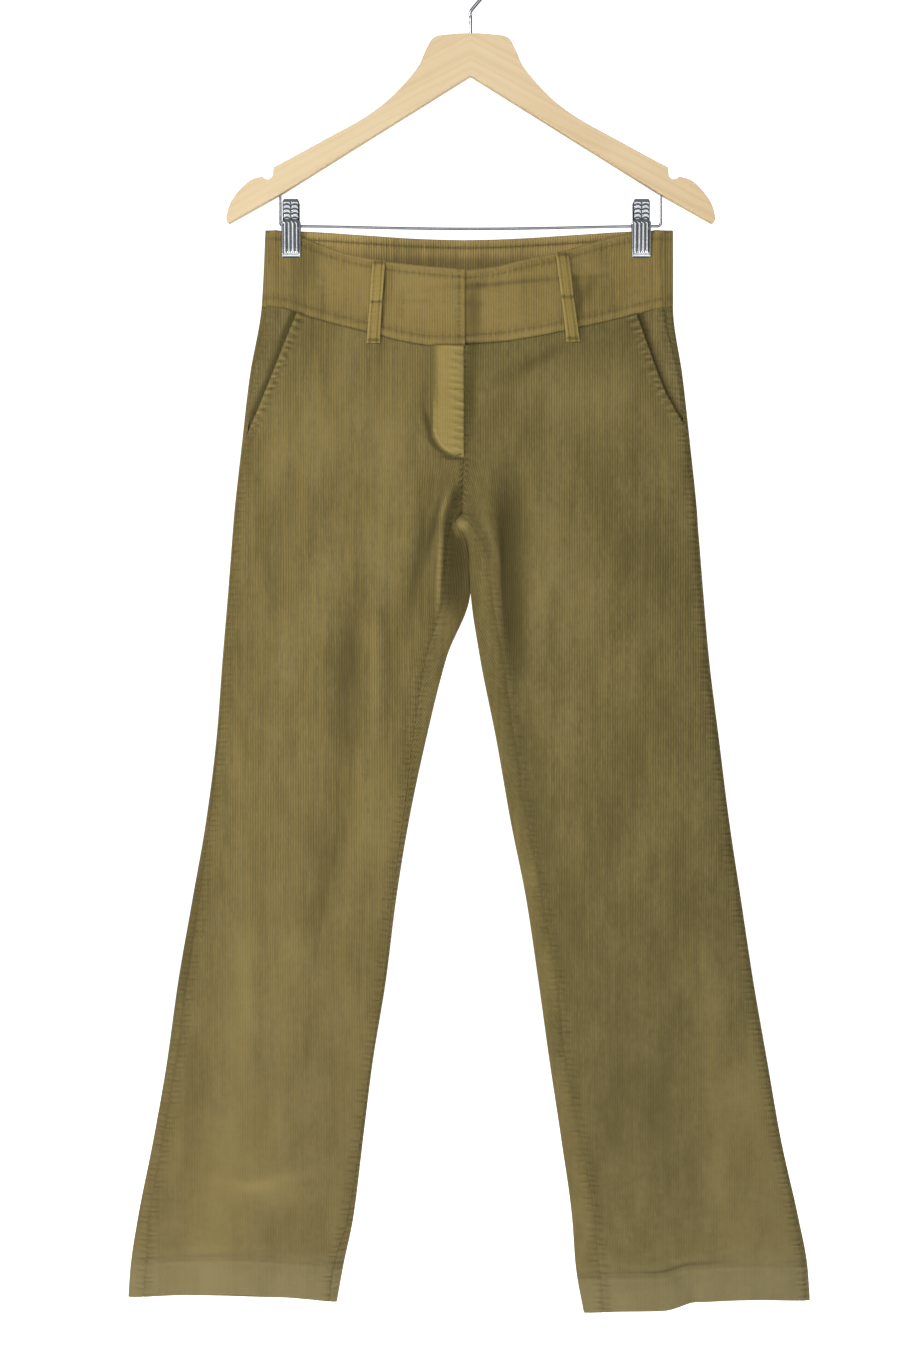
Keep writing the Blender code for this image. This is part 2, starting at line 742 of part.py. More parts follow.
def pocket_facing(side, colour):
    """The hip piece that shows behind the slanted pocket edge."""
    rows, columns = 9, 6
    top = line_drop(side, 0.0, "seam")
    foot = FRONT_ROWS[-1][0]
    outer, inner = [], []
    for r in range(rows + 1):
        row_drop = top + (FACING_FOOT - top) * r / rows
        ends = [settled(edge, side, row_drop, top, foot) for edge in (tucked_edge, pocket_edge, side_seam)]
        shares = [c / columns for c in range(columns + 1)]
        stops = [ends[0]] + [ends[1] + (ends[2] - ends[1]) * share for share in shares]
        drops = [panel_drop(side, row_drop, s, top, foot) for s in stops]
        width = abs(skin(side, drops[-1], ends[2])[0] - skin(side, drops[1], ends[1])[0])
        shown = smooth_step(FACING_NARROW / 3, FACING_NARROW, width)
        behind = [FACING_BEHIND * (1 - shown * smooth_step(0.0, 1.0, share)) for share in [0.0] + shares]
        outer.append([skin(side, d, s, b) for d, s, b in zip(drops, stops, behind)])
        inner.append([skin(side, d, s, b + CLOTH) for d, s, b in zip(drops, stops, behind)])
    return walled_sheet("pocket_facing_" + side_name(side), outer, inner, colour)


def fly_placket(colour):
    """The covered fly: a J-shaped strip on the right front panel."""
    straight_rows, curved_rows, columns = 6, 7, 5
    drops = [FLY_TOP + (FLY_STRAIGHT_TO - FLY_TOP) * i / straight_rows for i in range(straight_rows)]
    widths = [FLY_WIDTH] * straight_rows
    for i in range(curved_rows):
        turn = math.radians(FLY_LAST_TURN) * i / (curved_rows - 1)
        drops.append(FLY_STRAIGHT_TO + (FLY_FOOT - FLY_STRAIGHT_TO) * math.sin(turn))
        widths.append(FLY_WIDTH * math.cos(turn))
    near, far = -SEAM_GAP, -SEAM_GAP - FLY_THICKNESS
    outer, inner = [], []
    for drop, width in zip(drops, widths):
        across = [CENTRE_X - FLY_FROM_CENTRE - width * c / columns for c in range(columns + 1)]
        outer.append([surface_point(RIGHT, "front", drop, x, far) for x in across])
        inner.append([surface_point(RIGHT, "front", drop, x, near) for x in across])
    return walled_sheet("fly_placket", outer, inner, colour)


def fly_zip(colour):
    """The closed zip behind the fly, a plain tape."""
    rows, columns = 6, 4
    near = CLOTH + SEAM_GAP
    outer, inner = [], []
    for r in range(rows + 1):
        drop = ZIP_TOP + (ZIP_FOOT - ZIP_TOP) * r / rows
        across = [CENTRE_X + ZIP_HALF_WIDTH * (2 * c / columns - 1) for c in range(columns + 1)]
        outer.append([face_point("front", x, drop, near) for x in across])
        inner.append([face_point("front", x, drop, near + ZIP_THICKNESS) for x in across])
    return walled_sheet("fly_zip", outer, inner, colour, ZIP_ROUGHNESS)


def belt_loop(loop, colour):
    """A flat loop over the waistband, sewn down at its ends and, in front, at its tack."""
    rows, columns = 10, 2
    outer, inner = [], []
    for r in range(rows + 1):
        u = r / rows
        drop = loop.top_drop + (loop.foot_drop - loop.top_drop) * u
        middle = loop.top_x + (loop.foot_x - loop.top_x) * u
        rise = abs(math.sin(math.pi * u))
        if loop.tack_drop:
            tack = (loop.tack_drop - loop.top_drop) / (loop.foot_drop - loop.top_drop)
            v = u / tack if u < tack else (u - tack) / (1 - tack)
            rise = abs(math.sin(math.pi * v))
        off = SEAM_GAP + LOOP_STANDS_OFF * rise
        across = [middle + LOOP_WIDTH * (c / columns - 0.5) for c in range(columns + 1)]
        outer.append([face_point(loop.face, x, drop, -off - LOOP_CLOTH) for x in across])
        inner.append([face_point(loop.face, x, drop, -off) for x in across])
    return walled_sheet(loop.name, outer, inner, colour)


# ---------------------------------------------------------------- hanger

def through_points(points, steps):
    """A smooth curve through a short list of points."""
    curve = []
    for i in range(len(points) - 1):
        before = points[max(i - 1, 0)]
        start, end = points[i], points[i + 1]
        after = points[min(i + 2, len(points) - 1)]
        for k in range(steps):
            u = k / steps
            curve.append(tuple(
                0.5 * (2 * b + (c - a) * u + (2 * a - 5 * b + 4 * c - d) * u**2)
                + 0.5 * (3 * b - a - 3 * c + d) * u**3
                for a, b, c, d in zip(before, start, end, after)
            ))
    curve.append(tuple(points[-1]))
    return curve


def hanger_outline():
    """The hanger seen from the front, once round: right arm, underside, left arm."""
    half = through_points(NECK_AND_ARM, 2)
    for i in range(1, 7):
        turn = math.radians(180 + 150 * i / 6)
        half.append((NOTCH_X + NOTCH_RADIUS * math.cos(turn), NOTCH_DROP - NOTCH_RADIUS * math.sin(turn)))
    half += through_points(ARM_END, 2)
    half += [tuple(point) for point in UNDERSIDE]
    mirrored = [(-across, drop) for across, drop in half[-2:0:-1]]
    return half + mirrored


def cylinder(name, radius, start, end):
    """A cutter or sleeve along X or Z, between two points in millimetres."""
    start, end = np.array(start), np.array(end)
    length = float(np.linalg.norm(end - start))
    mesh = bpy.data.meshes.new(name)
    turned = bmesh.new()
    bmesh.ops.create_cone(
        turned, cap_ends=True, segments=ROUND_SEGMENTS,
        radius1=radius * MM, radius2=radius * MM, depth=length * MM,
    )
    if abs(end[0] - start[0]) > abs(end[2] - start[2]):
        turn = [(0, 0, 1), (0, 1, 0), (-1, 0, 0)]
        for vertex in turned.verts:
            vertex.co = [sum(row[k] * vertex.co[k] for k in range(3)) for row in turn]
    bmesh.ops.translate(turned, vec=list((start + end) / 2 * MM), verts=turned.verts)
    turned.to_mesh(mesh)
    turned.free()
    return helper_object(name, mesh)


def combine(piece, helper, operation):
    """Cut a helper from a piece, or join it on."""
    modifier = piece.modifiers.new(helper.name, "BOOLEAN")
    modifier.operation = operation
    modifier.solver = "EXACT"
    modifier.object = helper


def hanger_body(colour):
    """The wooden arms, with a bore for the hook's stem and a socket for each end of the clip bar."""
    wood = bmesh.new()
    front = [wood.verts.new((x * MM, -WOOD_THICKNESS / 2 * MM, -drop * MM)) for x, drop in hanger_outline()]
    face = wood.faces.new(front)
    grown = bmesh.ops.extrude_face_region(wood, geom=[face])
    moved = [item for item in grown["geom"] if isinstance(item, bmesh.types.BMVert)]
    bmesh.ops.translate(wood, vec=(0, WOOD_THICKNESS * MM, 0), verts=moved)
    bmesh.ops.recalc_face_normals(wood, faces=wood.faces)
    mesh = bpy.data.meshes.new("hanger_body")
    wood.to_mesh(mesh)
    wood.free()
    body = finish_object("hanger_body", mesh, colour, WOOD_ROUGHNESS)
    rounding = body.modifiers.new("rounded_edges", "BEVEL")
    rounding.width = WOOD_EDGE_ROUND * MM
    rounding.segments = 1
    rounding.limit_method = "ANGLE"
    rounding.angle_limit = math.radians(50)
    bore = HOOK_WIRE / 2 + BORE_CLEARANCE
    combine(body, cylinder("stem_bore", bore, (0, 0, -60), (0, 0, -125)), "DIFFERENCE")
    socket = BAR_WIRE / 2 + BORE_CLEARANCE
    for side in (RIGHT, LEFT):
        x = side * BAR_HALF_SPAN
        name = "bar_socket_" + side_name(side)
        combine(body, cylinder(name, socket, (x, 0, -BAR_SOCKET_TOP), (x, 0, -235)), "DIFFERENCE")
    return body


def wire(name, points, diameter, colour):
    """A round wire along points given as (x, drop)."""
    line = bpy.data.curves.new(name, "CURVE")
    line.dimensions = "3D"
    line.bevel_depth = diameter / 2 * MM
    line.bevel_resolution = 2
    line.use_fill_caps = True
    spline = line.splines.new("POLY")
    spline.points.add(len(points) - 1)
    for point, (x, drop) in zip(spline.points, points):
        point.co = (x * MM, 0.0, -drop * MM, 1.0)
    line.materials.append(plain_finish(name, colour, METAL_ROUGHNESS, 1.0))
    piece = bpy.data.objects.new(name, line)
    bpy.context.scene.collection.objects.link(piece)
    return piece


def hanger_hook(colour):
    """The hook: a stem, a sweep out to +X and a round turn over the origin."""
    turn_points = []
    for i in range(HOOK_TURN_STEPS + 1):
        turn = math.radians(HOOK_TURN_FROM + (HOOK_TURN_TO - HOOK_TURN_FROM) * i / HOOK_TURN_STEPS)
        turn_points.append((HOOK_RADIUS * math.cos(turn), HOOK_CENTRE_DROP - HOOK_RADIUS * math.sin(turn)))
    sweep = through_points((*HOOK_SWEEP, turn_points[0]), 4)
    path = list(HOOK_STEM) + sweep[:-1] + turn_points
    return wire("hanger_hook", path, HOOK_WIRE, colour)


def bar_drop(x):
    """Drop of the clip bar, which sags a little in its middle."""
    span = BAR_HALF_SPAN - BAR_BEND
    return BAR_DROP + BAR_SAG * max(1 - (x / span) ** 2, 0.0) ** 2


def clip_bar(colour):
    """The wire under the arms: down from one socket, across, and up into the other."""
    corner_x = BAR_HALF_SPAN - BAR_BEND
    corner_drop = BAR_DROP - BAR_BEND
    half = [(BAR_HALF_SPAN, BAR_TOP), (BAR_HALF_SPAN, corner_drop)]
    for i in range(1, 5):
        turn = math.radians(90 * i / 4)
        half.append((corner_x + BAR_BEND * math.cos(turn), corner_drop + BAR_BEND * math.sin(turn)))
    for i in range(1, 8):
        x = corner_x * (1 - i / 8)
        half.append((x, bar_drop(x)))
    path = half + [(0.0, bar_drop(0.0))] + [(-x, drop) for x, drop in reversed(half)]
    return wire("clip_bar", path, BAR_WIRE, colour)


def clip_jaw(side, face, colour):
    """One sprung jaw of a clip, with two ears that the bar passes through."""
    toward = -1 if face == "front" else 1
    centre = CLIP_X[side]
    outer, inner = [], []
    for station in JAW:
        across = (centre - station.half_width, centre + station.half_width)
        outer.append([(x, toward * station.out, -station.drop) for x in across])
        inner.append([(x, toward * (station.out - JAW_THICKNESS), -station.drop) for x in across])
    name = "clip_" + side_name(side) + "_" + face
    jaw = walled_sheet(name, outer, inner, colour, METAL_ROUGHNESS, metallic=1.0, gap=0.0)
    pivot = bar_drop(centre)
    offset = FRONT_EAR_X if face == "front" else BACK_EAR_X
    for hand in (-1, 1):
        ear_x = centre + hand * offset
        combine(jaw, ear(name + "_ear_" + str(hand + 1), ear_x, pivot, toward), "UNION")
    bore = BAR_WIRE / 2 + BORE_CLEARANCE
    through = (centre - SPRING_LENGTH, 0, -pivot), (centre + SPRING_LENGTH, 0, -pivot)
    combine(jaw, cylinder(name + "_bore", bore, *through), "DIFFERENCE")
    return jaw


def ear(name, x, pivot, toward):
    """A lug from a jaw's plate round to the far side of the bar."""
    reach = JAW_THICKNESS * 0.5
    plate_out = np.interp(pivot, [s.drop for s in JAW], [s.out for s in JAW]) - reach
    outline = [(toward * plate_out, pivot - EAR_RADIUS), (toward * plate_out, pivot + EAR_RADIUS)]
    for i in range(7):
        turn = math.radians(90 - 180 * i / 6)
        outline.append((-toward * EAR_RADIUS * math.cos(turn), pivot + EAR_RADIUS * math.sin(turn)))
    lug = bmesh.new()
    near = [lug.verts.new(((x - EAR_THICKNESS / 2) * MM, y * MM, -drop * MM)) for y, drop in outline]
    face = lug.faces.new(near)
    grown = bmesh.ops.extrude_face_region(lug, geom=[face])
    moved = [item for item in grown["geom"] if isinstance(item, bmesh.types.BMVert)]
    bmesh.ops.translate(lug, vec=(EAR_THICKNESS * MM, 0, 0), verts=moved)
    bmesh.ops.recalc_face_normals(lug, faces=lug.faces)
    mesh = bpy.data.meshes.new(name)
    lug.to_mesh(mesh)
    lug.free()
    return helper_object(name, mesh)


def clip_spring(side, colour):
    """The coiled spring round the bar, as a plain sleeve."""
    centre = CLIP_X[side]
    pivot = bar_drop(centre)
    name = "clip_" + side_name(side) + "_spring"
    start, end = (centre - SPRING_LENGTH / 2, 0, -pivot), (centre + SPRING_LENGTH / 2, 0, -pivot)
    blank = cylinder(name + "_blank", SPRING_RADIUS, start, end)
    sleeve = finish_object(name, blank.data.copy(), colour, METAL_ROUGHNESS, metallic=1.0)
    bpy.data.objects.remove(blank)
    bore = BAR_WIRE / 2 + BORE_CLEARANCE
    through = (centre - SPRING_LENGTH, 0, -pivot), (centre + SPRING_LENGTH, 0, -pivot)
    combine(sleeve, cylinder(name + "_bore", bore, *through), "DIFFERENCE")
    return sleeve


# ---------------------------------------------------------------- the whole

def clear_scene():
    """Start from an empty scene."""
    for piece in list(bpy.data.objects):
        bpy.data.objects.remove(piece)


def main():
    """Build the trousers, then the hanger."""
    clear_scene()
    for side in (RIGHT, LEFT):
        leg_panel(side, "front", CORD_COLOUR)
        leg_panel(side, "back", CORD_COLOUR)
        pocket_facing(side, CORD_COLOUR)
        front_band(side, BAND_COLOUR)
    back_band(BAND_COLOUR)
    fly_placket(BAND_COLOUR)
    fly_zip(ZIP_COLOUR)
    for loop in LOOPS:
        belt_loop(loop, BAND_COLOUR)
    hanger_body(WOOD_COLOUR)
    hanger_hook(METAL_COLOUR)
    clip_bar(METAL_COLOUR)
    for side in (RIGHT, LEFT):
        clip_jaw(side, "front", METAL_COLOUR)
        clip_jaw(side, "back", METAL_COLOUR)
        clip_spring(side, METAL_COLOUR)


main()
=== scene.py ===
"""The looks of the corduroy trousers on their clip hanger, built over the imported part.

The frame is the part's own: the origin is where the hook rests, +Z is up and the front of the
trousers looks along -Y. Sizes in the tables are in millimetres and MM turns them into metres. A
"drop" is a distance straight down from the origin. The wearer's right is at -X.
"""

import logging
import math
from dataclasses import dataclass
from enum import Enum
from functools import lru_cache
from typing import Callable, NamedTuple, Optional, Sequence, Union

import bmesh
import bpy
import numpy as np
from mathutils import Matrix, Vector

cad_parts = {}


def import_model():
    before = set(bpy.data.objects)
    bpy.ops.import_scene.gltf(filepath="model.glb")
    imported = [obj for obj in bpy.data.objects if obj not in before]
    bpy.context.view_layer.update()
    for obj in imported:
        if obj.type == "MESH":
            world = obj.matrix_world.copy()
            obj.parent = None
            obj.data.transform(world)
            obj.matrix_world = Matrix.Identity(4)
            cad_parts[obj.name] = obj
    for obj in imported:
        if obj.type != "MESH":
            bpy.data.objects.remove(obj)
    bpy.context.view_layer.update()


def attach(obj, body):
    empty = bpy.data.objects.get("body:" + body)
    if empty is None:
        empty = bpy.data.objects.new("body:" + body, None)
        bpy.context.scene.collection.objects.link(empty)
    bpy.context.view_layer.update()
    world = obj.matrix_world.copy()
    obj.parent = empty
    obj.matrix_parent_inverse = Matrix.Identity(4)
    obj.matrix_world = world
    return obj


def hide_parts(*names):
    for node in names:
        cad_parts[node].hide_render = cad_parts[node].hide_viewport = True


LOG = logging.getLogger("trousers")
MM = 0.001
GRAIN = "Grain"
SEAMS = "Seams"
LEVELS_MAP = "Levels"
NAP_AND_SHADE = "Nap"
FAR = 400.0

Array = np.ndarray
Colour = tuple[float, float, float]


class Half(Enum):
    """The wearer's halves, by the sign of X."""

    RIGHT = -1
    LEFT = 1

    @property
    def word(self) -> str:
        """The half's name as it is written in the tables."""
        return self.name.lower()


class Face(Enum):
    """The two faces of the trousers."""

    FRONT = "front"
    BACK = "back"


class Line(Enum):
    """The lines that run round the trousers."""

    TOP = "top"
    SEAM = "seam"
    HEM = "hem"


# ---------------------------------------------------------------- tables of the cloth's form


class Level(NamedTuple):
    """One level down the trousers: edges by x, seams by how far in from the edge they lie."""

    drop: float
    right_edge: float
    right_inner: float
    left_inner: float
    left_edge: float
    right_side_in: float
    right_inseam_in: float
    left_inseam_in: float
    left_side_in: float
    front_depth: float
    back_depth: float


LEVELS = tuple(Level(*row) for row in (
    (250, -187.0, -6.0, -6.0, 184.5, 4.5, 0.0, 0.0, 11.0, 17.0, 15.0),
    (320, -190.5, -6.0, -6.0, 184.5, 4.5, 0.0, 0.0, 8.0, 18.0, 18.0),
    (385, -201.5, -6.0, -6.0, 193.3, 4.0, 0.0, 0.0, 3.5, 19.0, 21.0),
    (450, -209.0, -6.0, -6.0, 200.5, 2.5, 0.0, 0.0, 3.0, 20.0, 23.0),
    (509, -215.5, -8.0, -8.0, 206.5, 2.0, 0.0, 0.0, 2.7, 20.0, 24.0),
    (520, -216.4, -5.5, -5.5, 207.2, 2.0, 13.0, 8.0, 2.7, 20.0, 24.0),
    (545, -218.3, -1.9, -1.9, 209.2, 2.0, 21.0, 16.0, 2.7, 19.5, 23.0),
    (580, -221.0, -0.3, -0.3, 212.0, 2.0, 24.5, 19.0, 2.7, 19.0, 22.0),
    (640, -226.0, -21.7, 8.3, 217.2, 2.0, 19.5, 21.0, 2.7, 18.0, 21.0),
    (715, -231.8, -40.5, 23.2, 226.4, 2.7, 12.5, 16.8, 2.7, 17.5, 19.5),
    (790, -241.3, -56.3, 36.4, 235.8, 4.0, 6.0, 15.5, 2.7, 17.0, 18.5),
    (860, -253.5, -67.7, 50.4, 246.3, 7.0, 4.0, 15.0, 2.7, 16.5, 17.5),
    (935, -266.5, -77.2, 61.6, 257.6, 9.0, 2.5, 17.0, 2.7, 16.0, 16.5),
    (1010, -277.0, -89.3, 72.0, 270.7, 9.0, 2.5, 15.0, 2.7, 15.5, 16.0),
    (1080, -289.3, -98.0, 82.5, 283.0, 9.3, 3.0, 18.0, 2.7, 15.5, 15.5),
    (1150, -303.2, -106.7, 92.2, 298.6, 11.0, 5.5, 20.0, 3.0, 15.5, 15.5),
    (1195, -310.0, -116.0, 95.6, 307.0, 14.6, 9.0, 21.5, 3.6, 15.5, 15.0),
    (1240, -313.0, -124.0, 103.5, 310.0, 14.6, 6.0, 18.0, 3.6, 15.0, 14.5),
))


class WaistLine(NamedTuple):
    """Drops of the band's edges, at a share of the way from the centre to the side."""

    across: float
    right_top: float
    left_top: float
    back_top: float
    right_seam: float
    left_seam: float
    back_seam: float


WAIST_LINES = tuple(WaistLine(*row) for row in (
    (0.00, 290.0, 290.5, 259.5, 358.5, 357.0, 329.0), (0.15, 287.5, 287.3, 259.0, 358.0, 355.0, 328.5),
    (0.30, 284.3, 279.8, 258.0, 353.5, 350.5, 327.5), (0.45, 279.5, 273.0, 256.5, 346.0, 345.0, 326.0),
    (0.60, 273.0, 264.5, 255.0, 339.0, 338.5, 324.5), (0.75, 263.0, 256.5, 253.5, 331.0, 331.5, 323.0),
    (0.90, 253.0, 252.5, 252.5, 322.0, 324.0, 321.5), (1.00, 252.0, 252.0, 252.0, 320.5, 320.5, 320.5),
))


class HemLine(NamedTuple):
    """Drops of the hem's edge, at a share of the way from the inseam side to the outer side."""

    across: float
    right_front: float
    left_front: float
    right_back: float
    left_back: float


HEM_LINES = tuple(HemLine(*row) for row in (
    (0.00, 1227.0, 1237.0, 1227.0, 1237.0), (0.15, 1223.0, 1234.5, 1226.3, 1235.0),
    (0.35, 1219.5, 1233.0, 1225.4, 1233.0), (0.50, 1218.0, 1225.5, 1224.7, 1230.5),
    (0.75, 1219.0, 1223.5, 1223.6, 1227.5), (1.00, 1222.5, 1225.5, 1222.5, 1225.5),
))


class PocketEdge(NamedTuple):
    """The slanted pocket edge, by x at a drop."""

    drop: float
    right_x: float
    left_x: float


POCKET_EDGES = tuple(PocketEdge(*row) for row in (
    (322, -156.5, 149.0), (354, -169.2, 160.0), (377, -178.0, 168.0), (398, -186.5, 176.3), (416, -194.0, 186.3),
    (433, -201.5, 195.8), (446, -206.2, 197.6),
))


class Fold(NamedTuple):
    """A soft ridge (height above 0) or trough (below 0) in the cloth, from one place to another."""

    face: Face
    start_x: float
    start_drop: float
    end_x: float
    end_drop: float
    width: float
    height: float


# The main folds, which the part's own solids have too.
MAIN_FOLDS = (
    *(Fold(Face.FRONT, *row) for row in (
        (-33, 480, -56, 600, 9, -4.0), (-56, 600, -78, 735, 12, -3.0), (-46, 470, -62, 545, 10, 2.4),
        (-23, 490, -27, 570, 8, 2.4), (-88, 600, -86, 720, 13, 3.0), (-107, 600, -120, 800, 14, -3.6),
        (-120, 800, -139, 912, 12, -3.6), (-146, 650, -178, 770, 12, -1.8), (-150, 800, -165, 960, 20, 1.8),
        (-112, 930, -128, 1090, 16, -1.6), (18, 490, 30, 625, 9, 3.0), (41, 476, 40, 640, 12, -4.0),
        (30, 625, 38, 690, 10, 2.0), (82, 352, 34, 386, 12, -1.6), (120, 560, 150, 760, 20, -1.6),
        (150, 800, 178, 1000, 18, 1.6), (190, 1195, 204, 1232, 9, -3.0),
    )),
    *(Fold(Face.BACK, *row) for row in (
        (-30, 470, -70, 620, 12, -3.6), (22, 472, 60, 610, 12, -3.2), (-60, 430, -110, 520, 16, -2.4),
        (58, 436, 100, 512, 16, -2.4), (-150, 620, -168, 860, 18, -2.6), (110, 600, 132, 800, 18, -2.4),
        (-120, 860, -150, 1080, 18, 2.0), (160, 820, 196, 1060, 18, 2.0),
    )),
)

# Smaller creases that only the dressed cloth has.
FINE_FOLDS = (
    *(Fold(Face.FRONT, *row) for row in (
        (-31, 476, -39, 516, 3.2, -1.5), (-39, 516, -47, 568, 3.4, -1.3), (-124, 826, -139, 912, 3.0, -1.2),
        (-119, 830, -134, 915, 3.6, 0.9), (-120, 552, -178, 764, 3.4, -0.9), (-114, 556, -171, 764, 4.0, 0.7),
        (-136, 800, -152, 862, 3.4, -0.8), (-80, 576, -81, 640, 7.0, 1.3), (-16, 500, -19, 560, 4.0, 1.2),
        (19, 500, 27, 560, 4.0, 1.2), (8, 520, 14, 575, 3.6, -0.9), (-11.5, 490, -14, 512, 3.2, -5.0),
        (30, 520, 31, 600, 4.0, -1.6), (13, 486, 24, 550, 6.0, 1.4), (-2.6, 362, -2.6, 456, 3.2, -1.5),
        (-20, 464, -30, 500, 3.0, -1.0), (-58, 380, -50, 470, 6.0, -0.7), (22, 400, 34, 470, 7.0, -0.7),
        (0, 303, 84, 291, 4.5, -1.7), (84, 318, 118, 288, 5.0, -1.1), (152, 306, 172, 298, 2.6, -0.8),
        (150, 314, 174, 310, 2.4, 0.6), (-40, 306, -10, 300, 3.0, -0.7), (-150, 1176, -270, 1180, 3.0, -0.6),
        (120, 1190, 150, 1197, 3.0, -0.8), (180, 1193, 240, 1180, 3.0, -0.9),
    )),
    *(Fold(Face.BACK, *row) for row in (
        (-40, 482, -64, 560, 4.0, -1.2), (28, 484, 52, 560, 4.0, -1.2), (-130, 640, -150, 820, 5.0, 0.9),
        (92, 640, 112, 800, 5.0, 0.9),
    )),
)


class NapPatch(NamedTuple):
    """A soft patch that looks lighter (above 0) or darker: the pile lying another way in some, painted shade and
    highlights in others.
    """

    x: float
    drop: float
    half_width: float
    half_height: float
    lean: float
    amount: float


# lean is how far the patch's middle moves in x for each millimetre down.
# Many patches are painted shade and highlights: shadows beside the belt loops, the band's overlapping end and the fly,
# dark recesses and a lit rolled nose at the fork, the lit and shaded sides of folds on the thighs, and shade on the
# outer thigh of the wearer's right leg; the others are pile lying another way.
NAP_AND_SHADE_PATCHES = tuple(NapPatch(*row) for row in (
    (-111, 660, 15, 110, -0.10, -0.85), (-130, 850, 13, 80, -0.20, -0.70), (-87, 650, 10, 75, 0.02, 0.70),
    (-150, 900, 40, 130, -0.15, 0.45), (-205, 700, 14, 200, -0.06, 0.30), (-48, 560, 8, 80, -0.20, -0.65),
    (-195, 1090, 45, 60, -0.10, 0.35), (-170, 1130, 50, 14, 0.0, 0.40), (-210, 1150, 60, 30, 0.0, -0.20),
    (36, 560, 17, 110, 0.06, -1.15), (52, 760, 16, 120, 0.14, -0.55), (92, 620, 22, 150, 0.05, 0.35),
    (150, 560, 26, 150, 0.05, -0.40), (150, 980, 50, 170, 0.10, -0.35), (110, 1130, 12, 90, 0.10, 0.40),
    (225, 1120, 16, 110, 0.15, 0.35), (24, 560, 5, 70, 0.05, 0.55), (95, 400, 75, 55, 0.0, 0.75),
    (-217, 1117, 26, 9, 4.0, 0.30), (-178, 1115, 24, 11, -2.6, 0.50), (-203, 960, 9, 90, 0.02, 0.55),
    (-204, 690, 22, 150, -0.12, -0.80), (-9, 519, 8, 9, 0.0, 1.9), (-11.5, 494, 3.4, 10, -0.15, -2.4),
    (-23, 500, 2.4, 16, -0.27, 1.6), (-33, 520, 4, 34, -0.25, -0.8), (16, 525, 5, 32, 0.25, 0.9),
    (31, 565, 4, 50, 0.05, -1.0), (-28.5, 560, 2.4, 44, -0.04, 2.1), (-20.5, 542, 4.5, 46, -0.03, -1.9),
    (-38.6, 431, 2.4, 15, 0.25, -1.7), (-29.5, 450, 3.2, 8, 1.0, -1.9), (-16, 460, 7, 2, 4.0, -1.8),
    (-45, 440, 5, 26, 0.1, 0.6), (-79, 318, 3, 36, -0.07, -0.9), (98, 315, 4, 38, 0.12, -1.0),
    (2, 322, 9, 34, 0.0, -1.1), (0, 404, 6, 52, 0.0, -1.0), (36, 301, 26, 7, -9.0, -0.75),
    (60, 292, 30, 5, -9.0, 0.5), (-40, 318, 36, 4, 5.0, -0.5), (-24, 326, 22, 16, 0.0, 0.35),
    (106, 306, 10, 18, -0.6, -0.7), (58, 372, 12, 18, -1.7, -0.9), (-150, 285, 14, 30, 0.0, -0.5),
    (-46, 430, 8, 26, 0.0, -0.55), (-12, 560, 9, 42, 0.0, -1.6), (-60, 420, 20, 60, 0.0, 0.25),
    (-120, 500, 40, 90, 0.0, -0.20), (-190, 785, 38, 85, -0.12, 0.50),
))

# ---- the trousers' own lines ----
CENTRE_X = -6.0
FORK_DROP = 509.0
FRONT_RISE_CURVE = 72.0
SEAT_CURVE = 88.0
SECTION_POWER = 2.2
SEAM_GAP = 0.04
SEAM_EASE = 0.3
SEAM_ALLOWANCE = 1.5
CLOTH = 1.6
BAND_CLOTH = 2.4
HEM_HEIGHT = 32.0
FRONT_FOOT = 1222.0
TOP_FADES_BY = 440.0
HEM_TAKES_FROM = 1000.0
POCKET_FOOT = {Half.RIGHT: 446.0, Half.LEFT: 438.0}
EDGE_INSET = (CLOTH, 0.5)
TURN_UP = (0.0, 0.0, 0.5, 1.5, 4.0, 10.0, 20.0, HEM_HEIGHT)
TURNED_INSET = (0.9, 2.0, 2.6, 2.6, 2.6, 2.6, 2.6, 2.6)

# ---- the crossing of the two halves at the fork: the wearer's left one lies in front ----
NOSE_DROP = 518.5
NOSE_HEIGHT = 8.0
NOSE_WIDTH = 8.5
TUCK_WIDTH = 4.5
CROSSING_STARTS = (504.0, 511.0)
TUCK_GROWS = (509.0, 524.0)
TUCK_ENDS = (560.0, 586.0)
SHIFT_GROWS = (506.0, 522.0)
SHIFT_ENDS = (585.0, 640.0)
CROSSING_SHIFT = 5.0
CROSSING_REACH = 34.0

# ---- fly, loops, zip and stitching ----
FLY_WIDTH = 30.0
FLY_TOP = 358.0
FLY_STRAIGHT_TO = 432.0
FLY_FOOT = 460.0
FLY_THICKNESS = 1.3
FLY_FROM_CENTRE = 0.2
ZIP_HALF_WIDTH = 13.0
ZIP_THICKNESS = 1.2
ZIP_TOP = 366.0
ZIP_FOOT = 448.0
UNDERLAP = 30.0
UNDERLAP_BLENDS_BY = 40.0
BAND_END = -6.2
BAND_MIDDLE_DROP = 300.0
TOP_STITCH = 6.6
POCKET_STITCH = 7.6
FOOT_STITCH = 8.5
END_STITCH = 4.2
FACING_FOOT = 434.0
FACING_TUCK = 12.0
FACING_BEHIND = CLOTH + 1.2
FACING_NARROW = 9.0
LOOP_WIDTH = 11.0
LOOP_CLOTH = 1.6
LOOP_STANDS_OFF = 1.8

# ---- the pinch at the clips ----
CLIP_X = {Half.RIGHT: -163.5, Half.LEFT: 155.3}
CLIP_HALF_WIDTH = 8.75
PINCH_HALF = 2.6
PINCH_END = 278.0
PINCH_FADES_BY = 400.0
FRONT_BOW = 22.0
BACK_BOW = 8.0
SIDE_ROLL = 3.2
SIDE_ROLL_REACH = 7.5
SIDE_ROLL_FROM_CLIP = 17.5
FLAT_ROUND_CLIP = 1.2
PINCHED_END_POWER = 12
FOLD_FADE = 0.2


